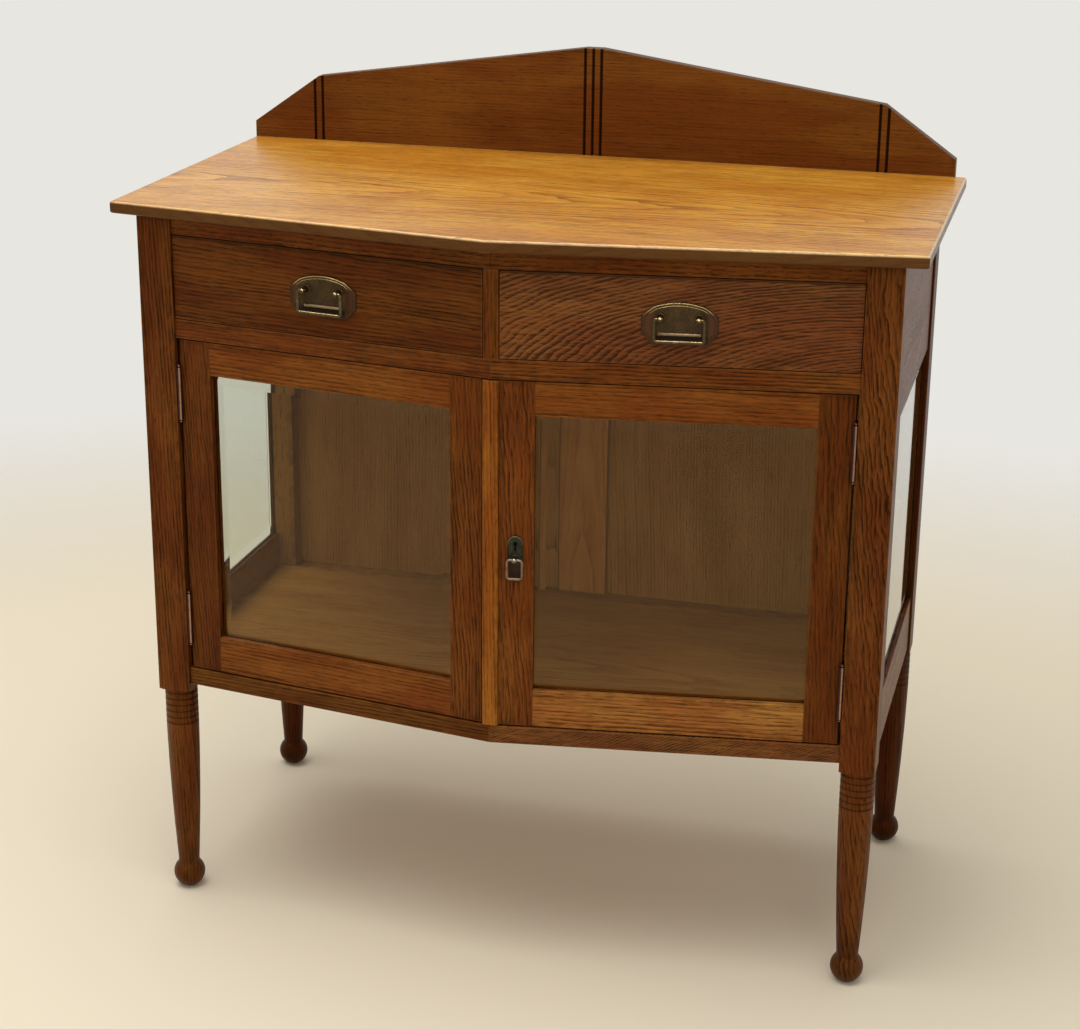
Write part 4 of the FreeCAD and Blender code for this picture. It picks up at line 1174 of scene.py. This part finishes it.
@dataclass(frozen=True)
class Block:
    """A flat outline raised through several heights, drawn in by an inset at each."""

    heights: Sequence[float]
    insets: Sequence[float]

    def grid(self, outline: np.ndarray) -> np.ndarray:
        """The block on an outline: each ring is the outline scaled about its middle until its inset is met.

        Args:
            outline: Corners of the outline, counter-clockwise.

        Returns:
            Rings by corners by (first, second, height).
        """
        middle = outline.mean(0)
        reach = outline - middle
        size = np.abs(reach).max(0)
        rings = [np.column_stack([middle + reach * (size - inset) / size, np.full(len(outline), height)])
                 for height, inset in zip(self.heights, self.insets)]
        return np.stack(rings)


def collar_grid(inner: float, outer: float, rise: float, around: int = 28, count: int = 9) -> np.ndarray:
    """A half-round collar: a half circle from inner to outer radius, carried round the axis.

    Args:
        inner: Radius of the hole.
        outer: Radius of the foot.
        rise: Height of the crown.
        around: Sections round the axis.
        count: Points across the section.

    Returns:
        Sections by points by (first, second, height).
    """
    angle = np.linspace(0, 2 * math.pi, around, endpoint=False)[:, None]
    bend = np.linspace(0, math.pi, count)[None, :]
    radius = (inner + outer) / 2 + (outer - inner) / 2 * np.cos(bend)
    height = np.broadcast_to(rise * np.sin(bend), (around, count))
    return np.stack([radius * np.cos(angle), radius * np.sin(angle), height], -1)


def dome_grid(radius: float, rise: float, foot: float, around: int = 24, count: int = 7) -> np.ndarray:
    """A low dome: rings whose radius follows a cosine while their height follows a sine.

    Args:
        radius: Radius of the foot.
        rise: Height of the crown over the foot.
        foot: Height of the foot.
        around: Points round the axis.
        count: Rings from foot to crown.

    Returns:
        Rings by points by (first, second, height).
    """
    angle = np.linspace(0, 2 * math.pi, around, endpoint=False)[None, :]
    bend = np.linspace(0, math.pi / 2, count)[:, None]
    ring = radius * np.cos(bend)
    height = np.broadcast_to(foot + rise * np.sin(bend), (count, around))
    return np.stack([ring * np.cos(angle), ring * np.sin(angle), height], -1)


def arc_points(centre: Pair, radius: float, start: float, end: float, count: int) -> np.ndarray:
    """Points along an arc.

    Args:
        centre: Middle of the arc.
        radius: Its radius.
        start: Angle of the first point, in degrees.
        end: Angle of the last point, in degrees.
        count: Number of points.

    Returns:
        The points, one row each.
    """
    angle = np.radians(np.linspace(start, end, count))
    return np.stack([centre[0] + radius * np.cos(angle), centre[1] + radius * np.sin(angle)], -1)


def round_points(radius: float, count: int, centre: Pair = (0, 0)) -> np.ndarray:
    """Points round a whole circle, the first not repeated."""
    return arc_points(centre, radius, 0, 360 - 360 / count, count)


def screw_grids(radius: float, slot: float, rise: float) -> list[np.ndarray]:
    """A slotted screw head: two half discs with the slot between them.

    Args:
        radius: Radius of the head.
        slot: Width of the slot.
        rise: Height of the head.

    Returns:
        The two halves, rings by points by (first, second, height).
    """
    start = math.degrees(math.asin(slot / 2 / radius))
    half = arc_points((0, 0), radius, start, 180 - start, 13)
    return [Block((0.0, rise), (0.0, rise)).grid(way * half) for way in (1, -1)]


SIDE_GRAIN = Grain(Cut.SIDE, depth=0.08, across=-0.10, waver=0.010, pitch=0.0052, force=1.2)


@dataclass
class Carcass:
    """Everything that stands still: legs, top, gallery, rails, sides, back and decks."""

    boards: dict[str, tuple[Oak, Grain]] = field(default_factory=lambda: {
        "front_left_leg": (TURNED, Grain(Cut.UPRIGHT, depth=0.05, across=0.12, rise=0.02, drift=0.03)),
        "front_right_leg": (TURNED, Grain(Cut.UPRIGHT, depth=0.05, across=-0.12, drift=0.16, waver=0.012,
                                          pitch=0.0052, force=1.2)),
        # The back legs take the darker shaded oak: painted shade
        "back_left_leg": (SHADED, Grain(Cut.UPRIGHT, depth=0.06, across=0.10)),
        "back_right_leg": (SHADED, Grain(Cut.UPRIGHT, depth=0.05, across=-0.10)),
        "top_board": (TOP, Grain(Cut.FLAT, depth=0.11, across=0.05, rise=0.05, waver=0.004, pitch=0.0055,
                                 boards=0.165)),
        "gallery_board": (GALLERY, Grain(Cut.FRONT, depth=0.05, across=-0.25)),
        "top_rail": (STAINED, Grain(Cut.FRONT, depth=0.12, across=-0.10, rise=0.02, fold=SLOPE)),
        "left_base_rail": (RUBBED, Grain(Cut.FRONT, -1, depth=0.05, across=0.10)),
        "right_base_rail": (FLAMED, Grain(Cut.FRONT, 1, depth=0.05, across=0.25, drift=0.45, waver=0.004,
                                          pitch=0.0034)),
        "drawer_divider": (STAINED, Grain(Cut.UPRIGHT, depth=0.06, across=0.10)),
        "back_top_rail": (INSIDE, Grain(Cut.FRONT)),
        "back_bottom_rail": (INSIDE, Grain(Cut.FRONT)),
        "back_panels": (INSIDE, Grain(Cut.UPRIGHT, depth=0.09, across=0.05, rise=0.05)),
        "back_muntin": (MUNTIN, Grain(Cut.UPRIGHT, depth=0.06)),
        "cupboard_floor": (FLOOR, Grain(Cut.FLAT, depth=0.07, rise=0.03, boards=0.15)),
        "dust_board": (INSIDE, Grain(Cut.FLAT, depth=0.06, boards=0.15)),
        "deck_bearers": (INSIDE, Grain(Cut.SIDE)),
        "drawer_guides": (INSIDE, Grain(Cut.SIDE)),
    })

    def dress(self) -> None:
        """Give every still piece its finish."""
        for node, (oak, grain) in self.boards.items():
            oak.dress(nodes[node], grain)
        for hand in Hand:
            rail = Grain(Cut.FRONT, hand.value, depth=0.06, across=-0.12)
            CHESTNUT.dress(nodes[f"{hand}_middle_rail"], rail)
            for board, oak in (("side_panel", STAINED), ("side_middle_rail", LINED),
                               ("side_bottom_rail", LINED)):
                oak.dress(nodes[f"{hand}_{board}"], SIDE_GRAIN)
            PLATE_GLASS.dress(nodes[f"{hand}_side_glass"])
        for node in ("post_hinge_leaves", "hinge_pins"):
            HINGE_BRASS.dress(nodes[node])
        SCREW_STEEL.dress(nodes["gallery_screws"])


@dataclass
class Drawer:
    """One drawer with its canted front, box and brass pull."""

    hand: Hand
    oak: Oak
    grain: Grain
    pull_along: float = 0.2122
    axis_height: float = 0.82795
    plate_depth: float = -0.0018
    front_thick: float = 0.0198
    post_offset: float = 0.0215
    post_radius: float = 0.0032
    post_end: float = 0.0112
    head_rise: float = 0.0016
    foot_half: float = 0.031
    half_width: float = 0.043
    arch_half: float = 0.0295
    below: float = 0.031
    foot_clip: float = 0.013
    side_height: float = 0.020
    clip_height: float = 0.0105
    arch_rise: float = 0.0055
    beads: tuple[Bead, ...] = (Bead(0.0011, 0.0016, 0.0009), Bead(0.0040, 0.0010, 0.0005))
    rest_half: float = 0.0240
    rest_low: float = -0.0200
    rest_high: float = -0.0172
    rest_block: Block = Block((0.0, 0.0016, 0.0020), (0.0, 0.0, 0.0005))
    collar_hole: float = 0.0028
    collar_foot: float = 0.0058
    collar_rise: float = 0.0014
    nut_radius: float = 0.0048
    nut_block: Block = Block((0.0, 0.0022, 0.0027), (0.0, 0.0, 0.0007))

    def outline(self) -> np.ndarray:
        """Corners of the back plate about its axis: clipped foot, sides, clipped shoulders and arched top.

        The arch's radius follows from its half width and rise, as that of any circle through three points.

        Returns:
            The corners, counter-clockwise.
        """
        low = -self.below
        ear_low = low + self.foot_clip
        ear_high = ear_low + self.side_height
        shoulder = ear_high + self.clip_height
        radius = (self.arch_half ** 2 + self.arch_rise ** 2) / (2 * self.arch_rise)
        spread = math.degrees(math.asin(self.arch_half / radius))
        centre = (0.0, shoulder + self.arch_rise - radius)
        arch = arc_points(centre, radius, 90 - spread, 90 + spread, 15)
        right = np.array([(self.foot_half, low), (self.half_width, ear_low), (self.half_width, ear_high)])
        left = right[::-1] * (-1, 1)
        return np.concatenate([right, arch, left])

    def on_plate(self, local: np.ndarray) -> np.ndarray:
        """Carry (across, up, proud) points of the plate to its place on the drawer front."""
        return self.at_pull(local, self.plate_depth, -1)

    def inside(self, local: np.ndarray) -> np.ndarray:
        """Carry (across, up, proud) points to the back of the drawer front, at the pull."""
        return self.at_pull(local, self.front_thick, 1)

    def at_pull(self, local: np.ndarray, depth: float, way: int) -> np.ndarray:
        """Carry (across, up, proud) points to a face of the drawer front, about the pull's axis.

        Args:
            local: The points.
            depth: Distance of the face behind the rails' face.
            way: 1 where proud points backwards, -1 where it points forwards.

        Returns:
            The points in their place.
        """
        across, up, proud = np.moveaxis(local, -1, 0)
        along = self.pull_along + across
        return on_front(self.hand.value, along, depth + way * proud, self.axis_height + up)

    def at_posts(self, local: np.ndarray) -> list[np.ndarray]:
        """The same points at both posts."""
        return [local + (way * self.post_offset, 0.0, 0.0) for way in (-1, 1)]

    def build(self) -> None:
        """Add the plate's beads and rest bar, the collars and heads of its posts, and the nuts inside."""
        body = f"{self.hand}_drawer"
        rims = [bead.grid(self.outline()) for bead in self.beads]
        bar = np.array([(-self.rest_half, self.rest_low), (self.rest_half, self.rest_low),
                        (self.rest_half, self.rest_high), (-self.rest_half, self.rest_high)])
        collars = self.at_posts(collar_grid(self.collar_hole, self.collar_foot, self.collar_rise))
        heads = self.at_posts(dome_grid(self.post_radius, self.head_rise, self.post_end))
        for name, brass, grids, wrap in (("plate_rim", RIM_BRASS, rims, True),
                                         ("plate_rest", REST_BRASS, [self.rest_block.grid(bar)], False),
                                         ("post_collars", AGED_BRASS, collars, True),
                                         ("post_heads", HEAD_BRASS, heads, False)):
            placed = [self.on_plate(grid) for grid in grids]
            brass.dress(grid_piece(f"{self.hand}_{name}", placed, body, wrap=wrap))
        nuts = self.at_posts(self.nut_block.grid(round_points(self.nut_radius, 6)))
        placed = [self.inside(nut) for nut in nuts]
        AGED_BRASS.dress(grid_piece(f"{self.hand}_pull_nuts", placed, body, wrap=False))

    def dress(self) -> None:
        """Give the front, the box and the brass their finishes."""
        self.oak.dress(nodes[f"{self.hand}_drawer_front"], self.grain)
        DRAWER_SIDE.dress(nodes[f"{self.hand}_drawer_sides"], Grain(Cut.SIDE, depth=0.09))
        DRAWER_BOX.dress(nodes[f"{self.hand}_drawer_back"], Grain(Cut.FRONT, depth=0.09))
        DRAWER_BOX.dress(nodes[f"{self.hand}_drawer_bottom"], Grain(Cut.FLAT, depth=0.06, boards=0.14))
        PLATE_BRASS.dress(nodes[f"{self.hand}_pull_plate"])
        BAIL_BRASS.dress(nodes[f"{self.hand}_drawer_bail"])


@dataclass
class Door:
    """One glazed door: frame, glass, beads and hinge leaves."""

    hand: Hand
    stile_oak: Oak
    bottom_oak: Oak
    restless: float
    pitch: float

    def dress(self) -> None:
        """Give the frame, the glass and the brass their finishes."""
        side = self.hand.value
        upright = Grain(Cut.UPRIGHT, side, depth=0.05, across=-0.13, drift=0.08, waver=self.restless,
                        pitch=self.pitch)
        level = Grain(Cut.FRONT, side, depth=0.07, across=-0.09, rise=0.03)
        for part, oak, grain in (("hinge_stile", DUSKY, upright), ("meeting_stile", self.stile_oak, upright),
                                 ("top_rail", RUSSET, level), ("bottom_rail", self.bottom_oak, level),
                                 ("glazing_beads", STAINED, Grain(Cut.UPRIGHT, side))):
            oak.dress(nodes[f"{self.hand}_door_{part}"], grain)
        PLATE_GLASS.dress(nodes[f"{self.hand}_door_glass"])
        HINGE_BRASS.dress(nodes[f"{self.hand}_door_hinge_leaves"])


@dataclass
class Hinges:
    """Small parts of the butt hinges: three screws in each leaf, and turned tips on the pins."""

    door_face: float = 0.4081
    post_face: float = 0.4101
    screw_y: float = -0.1730
    screw_shares: Triple = (1 / 6, 1 / 2, 5 / 6)
    screw_radius: float = 0.0026
    screw_slot: float = 0.0006
    screw_rise: float = 0.00012
    length: float = 0.066
    lows: Pair = (0.3536, 0.6464)
    pin: Pair = (0.4075, -0.18582)
    tip_radius: float = 0.0026
    tip_rise: float = 0.0042
    tip_sink: float = 0.0002
    tip_bends: Pair = (-0.8, 1.0)

    def build(self) -> None:
        """Set slotted heads in the leaves of both doors and both posts, and tips on the pins."""
        post_heads: list[np.ndarray] = []
        for hand in Hand:
            door_heads = list(self.heads(hand.value, self.door_face, 1))
            post_heads += self.heads(hand.value, self.post_face, -1)
            screws = grid_piece(f"{hand}_hinge_screws", door_heads, f"{hand}_door", wrap=False)
            SCREW_STEEL.dress(screws)
        SCREW_STEEL.dress(grid_piece("post_hinge_screws", post_heads, "carcass", wrap=False))
        HINGE_BRASS.dress(grid_piece("hinge_tips", self.tips(), "carcass", wrap=False))

    def heads(self, side: int, face: float, way: int) -> Iterator[np.ndarray]:
        """Heads of the screws in one side's leaves, each half disc laid on its leaf.

        Args:
            side: 1 for the right side, -1 for the left.
            face: Distance of the leaves' face from the middle of the cabinet.
            way: 1 where the face looks outwards, -1 where it looks inwards.

        Yields:
            Rings by points by 3, for each half head.
        """
        heights = [low + self.length * share for low in self.lows for share in self.screw_shares]
        for half in screw_grids(self.screw_radius, self.screw_slot, self.screw_rise):
            back, up, proud = np.moveaxis(half, -1, 0)
            for height in heights:
                yield np.stack([side * (face + way * proud), self.screw_y + back, height + up], -1)

    def tips(self) -> Iterator[np.ndarray]:
        """Turned tips at both ends of each pin: rings on a stretched ball, from a short neck to the pole.

        Yields:
            Rings by points by 3, for each tip.
        """
        bend = np.linspace(*self.tip_bends, 11)[:, None] * math.pi / 2
        angle = np.linspace(0, 2 * math.pi, 20, endpoint=False)[None, :]
        radius = self.tip_radius * np.cos(bend)
        rise = self.tip_rise / 2 * (np.sin(bend) + 1) - self.tip_sink
        across, back = radius * np.cos(angle), self.pin[1] + radius * np.sin(angle)
        for side in (-1, 1):
            for low in self.lows:
                for end, way in ((low, -1), (low + self.length, 1)):
                    height = np.broadcast_to(end + way * rise, back.shape)
                    yield np.stack([side * self.pin[0] + across, back, height], -1)


@dataclass
class DropPull:
    """Closing bead and drop ring pull of the right door."""

    along: float = 0.0296
    plate_depth: float = 0.0002
    axis_height: float = 0.533
    half_width: float = 0.0092
    above: float = 0.0275
    below: float = 0.0295
    foot_half: float = 0.0074
    waist: float = 0.004
    waist_run: float = 0.004
    bead: Bead = Bead(0.0009, 0.0013, 0.0007)
    collar_hole: float = 0.0024
    collar_foot: float = 0.0044
    collar_rise: float = 0.0011
    head_radius: float = 0.0029
    head_rise: float = 0.0016
    post_end: float = 0.0097
    pin_radius: float = 0.0011
    pin_block: Block = Block((0.0, 0.0004, 0.0006), (0.0, 0.0002, 0.0006))
    pin_rises: Pair = (0.0238, -0.0262)
    keyhole_rise: float = 0.018
    keyhole_radius: float = 0.0030
    keyhole_half: float = 0.0016
    keyhole_slot: Pair = (0.0086, 0.0175)
    shade_block: Block = Block((-0.0016, -0.0012), (0.0, 0.0))

    def outline(self) -> np.ndarray:
        """Corners of the plate about its axis: narrow round tail, waist, and round top.

        Returns:
            The corners, counter-clockwise.
        """
        tail = arc_points((0, self.foot_half - self.below), self.foot_half, 180, 360, 13)
        head = arc_points((0, self.above - self.half_width), self.half_width, 0, 180, 19)
        right = np.array([(self.foot_half, -self.waist - self.waist_run), (self.half_width, -self.waist)])
        left = right[::-1] * (-1, 1)
        return np.concatenate([tail, right, head, left])

    def on_plate(self, local: np.ndarray) -> np.ndarray:
        """Carry (across, up, proud) points of the plate to its place on the right door."""
        across, up, proud = np.moveaxis(local, -1, 0)
        return on_front(1, self.along + across, self.plate_depth - proud, self.axis_height + up)

    def build(self) -> None:
        """Add the plate's rim, the collar and head of its post, its pins, and the dark of the keyhole."""
        collar = collar_grid(self.collar_hole, self.collar_foot, self.collar_rise)
        head = dome_grid(self.head_radius, self.head_rise, self.post_end)
        pin = self.pin_block.grid(round_points(self.pin_radius, 12))
        pins = [pin + (0.0, rise, 0.0) for rise in self.pin_rises]
        bow = round_points(self.keyhole_radius, 24, (0, self.keyhole_rise))
        (low, high), half = self.keyhole_slot, self.keyhole_half
        slot = np.array([(-half, low), (half, low), (half, high), (-half, high)])
        shades = [self.shade_block.grid(shape) for shape in (bow, slot)]
        rim = self.bead.grid(self.outline())
        for name, brass, grids, wrap in (("drop_plate_rim", TAIL_BRASS, [rim], True),
                                         ("drop_post_collar", AGED_BRASS, [collar], True),
                                         ("drop_post_head", KNOB_BRASS, [head], False),
                                         ("drop_plate_pins", AGED_BRASS, pins, False),
                                         ("keyhole_shade", KEYHOLE_SHADE, shades, False)):
            placed = [self.on_plate(grid) for grid in grids]
            brass.dress(grid_piece(name, placed, "right_door", wrap=wrap))

    def dress(self) -> None:
        """Give the bead and the brass their finishes."""
        HONEY.dress(nodes["closing_bead"], Grain(Cut.UPRIGHT, depth=0.05, across=0.16))
        GREEN_BRASS.dress(nodes["drop_plate"])
        RING_BRASS.dress(nodes["drop_ring"])


@dataclass(frozen=True)
class Lamp:
    """One square soft lamp: its name, where it hangs, the length of its sides, and its watts."""

    name: str
    place: Triple
    size: float
    power: float

    def hang(self, target: Vector) -> None:
        """Hang the lamp so that it looks at a target.

        Args:
            target: What it looks at.
        """
        data = bpy.data.lights.new(self.name, "AREA")
        data.size = self.size
        data.energy = self.power
        lamp = bpy.data.objects.new(self.name, data)
        lamp.location = self.place
        lamp.rotation_euler = (target - Vector(self.place)).to_track_quat("-Z", "Y").to_euler()
        bpy.context.scene.collection.objects.link(lamp)


@dataclass
class Studio:
    """Pale floor, soft lamps and the camera."""

    camera_place: Triple = (0.6800, -2.5756, 1.4543)
    yaw: float = math.radians(14.8)
    pitch: float = math.radians(18.8)
    roll: float = math.radians(0.6)
    lens: float = 74.46
    shift: Pair = (-0.0036, -0.0316)
    floor_tone: Colour = paint(228, 216, 192)
    floor_reach: float = 3.3
    floor_middle: float = -1.0
    floor_fade: Pair = (1.9, 3.2)
    surround: Colour = paint(232, 230, 224)
    light_level: float = 0.5
    lamps: tuple[Lamp, ...] = (Lamp("key_lamp", (-0.5, -0.4, 3.6), 3.2, 115.0),
                               Lamp("fill_lamp", (1.2, -3.4, 2.4), 2.4, 26.0))
    lamp_target: Triple = (0.0, 0.0, 0.6)

    def build(self) -> None:
        """Set up the floor, the light and the camera."""
        bpy.context.scene.view_settings.view_transform = "Standard"
        self.floor()
        self.world()
        for lamp in self.lamps:
            lamp.hang(Vector(self.lamp_target))
        self.camera()

    def floor(self) -> None:
        """Lay a pale floor under the feet, fading into the pale surround away from its middle."""
        middle = np.array((0.0, self.floor_middle, 0.0))
        corners = middle + self.floor_reach * np.array([(-1, -1, 0), (1, -1, 0), (1, 1, 0), (-1, 1, 0)])
        mesh = bpy.data.meshes.new("floor")
        mesh.from_pydata(corners.tolist(), [], [(0, 1, 2, 3)])
        ground = bpy.data.objects.new("floor", mesh)
        bpy.context.scene.collection.objects.link(ground)
        net = Net.material("pale_floor")
        across, along, _ = net.parts(net.place())
        along = along - self.floor_middle
        far = (across * across + along * along).root().step(*self.floor_fade)
        boards = net.principled({"Base Color": self.floor_tone, "Roughness": 0.8})
        net.put_on(ground, net.either(far, boards, net.clear()))

    def world(self) -> None:
        """Surround the cabinet with soft light, pale where it is seen or mirrored."""
        world = bpy.data.worlds.new("studio")
        bpy.context.scene.world = world
        net = Net(world)
        rays = net.node("ShaderNodeLightPath").outputs
        seen = Value(net, rays["Is Camera Ray"])
        for kind in ("Is Glossy Ray", "Is Transmission Ray"):
            seen = seen.most(Value(net, rays[kind]))
        strength = seen.between(self.light_level, 1.0)
        light = net.node("ShaderNodeBackground", None, {"Color": self.surround, "Strength": strength})
        net.node("ShaderNodeOutputWorld", None, {"Surface": light.outputs[0]})

    def camera(self) -> None:
        """Stand the camera where the photograph was taken from."""
        level = Vector((math.cos(self.yaw), math.sin(self.yaw), 0))
        onward = Vector((-math.sin(self.yaw), math.cos(self.yaw), 0))
        ahead = math.cos(self.pitch) * onward - Vector((0, 0, math.sin(self.pitch)))
        above = level.cross(ahead)
        right = math.cos(self.roll) * level + math.sin(self.roll) * above
        up = math.cos(self.roll) * above - math.sin(self.roll) * level
        data = bpy.data.cameras.new("photo_camera")
        data.sensor_width = 36
        data.lens = self.lens
        data.shift_x, data.shift_y = self.shift
        camera = bpy.data.objects.new("photo_camera", data)
        turn = Matrix((right, up, -ahead)).transposed().to_4x4()
        camera.matrix_world = Matrix.Translation(self.camera_place) @ turn
        bpy.context.scene.collection.objects.link(camera)
        bpy.context.scene.camera = camera


def main() -> None:
    """Dress the cabinet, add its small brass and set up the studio."""
    logging.basicConfig(level=logging.INFO, format="%(message)s")
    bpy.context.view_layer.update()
    Carcass().dress()
    straight = Grain(Cut.FRONT, -1, depth=0.08, across=0.13, rise=-0.08, waver=0.004)
    curly = Grain(Cut.FRONT, 1, depth=0.10, across=-0.10, rise=-0.35, drift=0.0, waver=0.0042,
                  pitch=0.0036, force=1.5)
    for drawer in (Drawer(Hand.LEFT, UMBER, straight), Drawer(Hand.RIGHT, FIGURED, curly)):
        drawer.build()
        drawer.dress()
    for door in (Door(Hand.LEFT, STAINED, RUSSET, restless=0.006, pitch=0.0042),
                 Door(Hand.RIGHT, CHESTNUT, STRAW, restless=0.009, pitch=0.0048)):
        door.dress()
    Hinges().build()
    drop_pull = DropPull()
    drop_pull.build()
    drop_pull.dress()
    Studio().build()


if __name__ == "__main__":
    main()
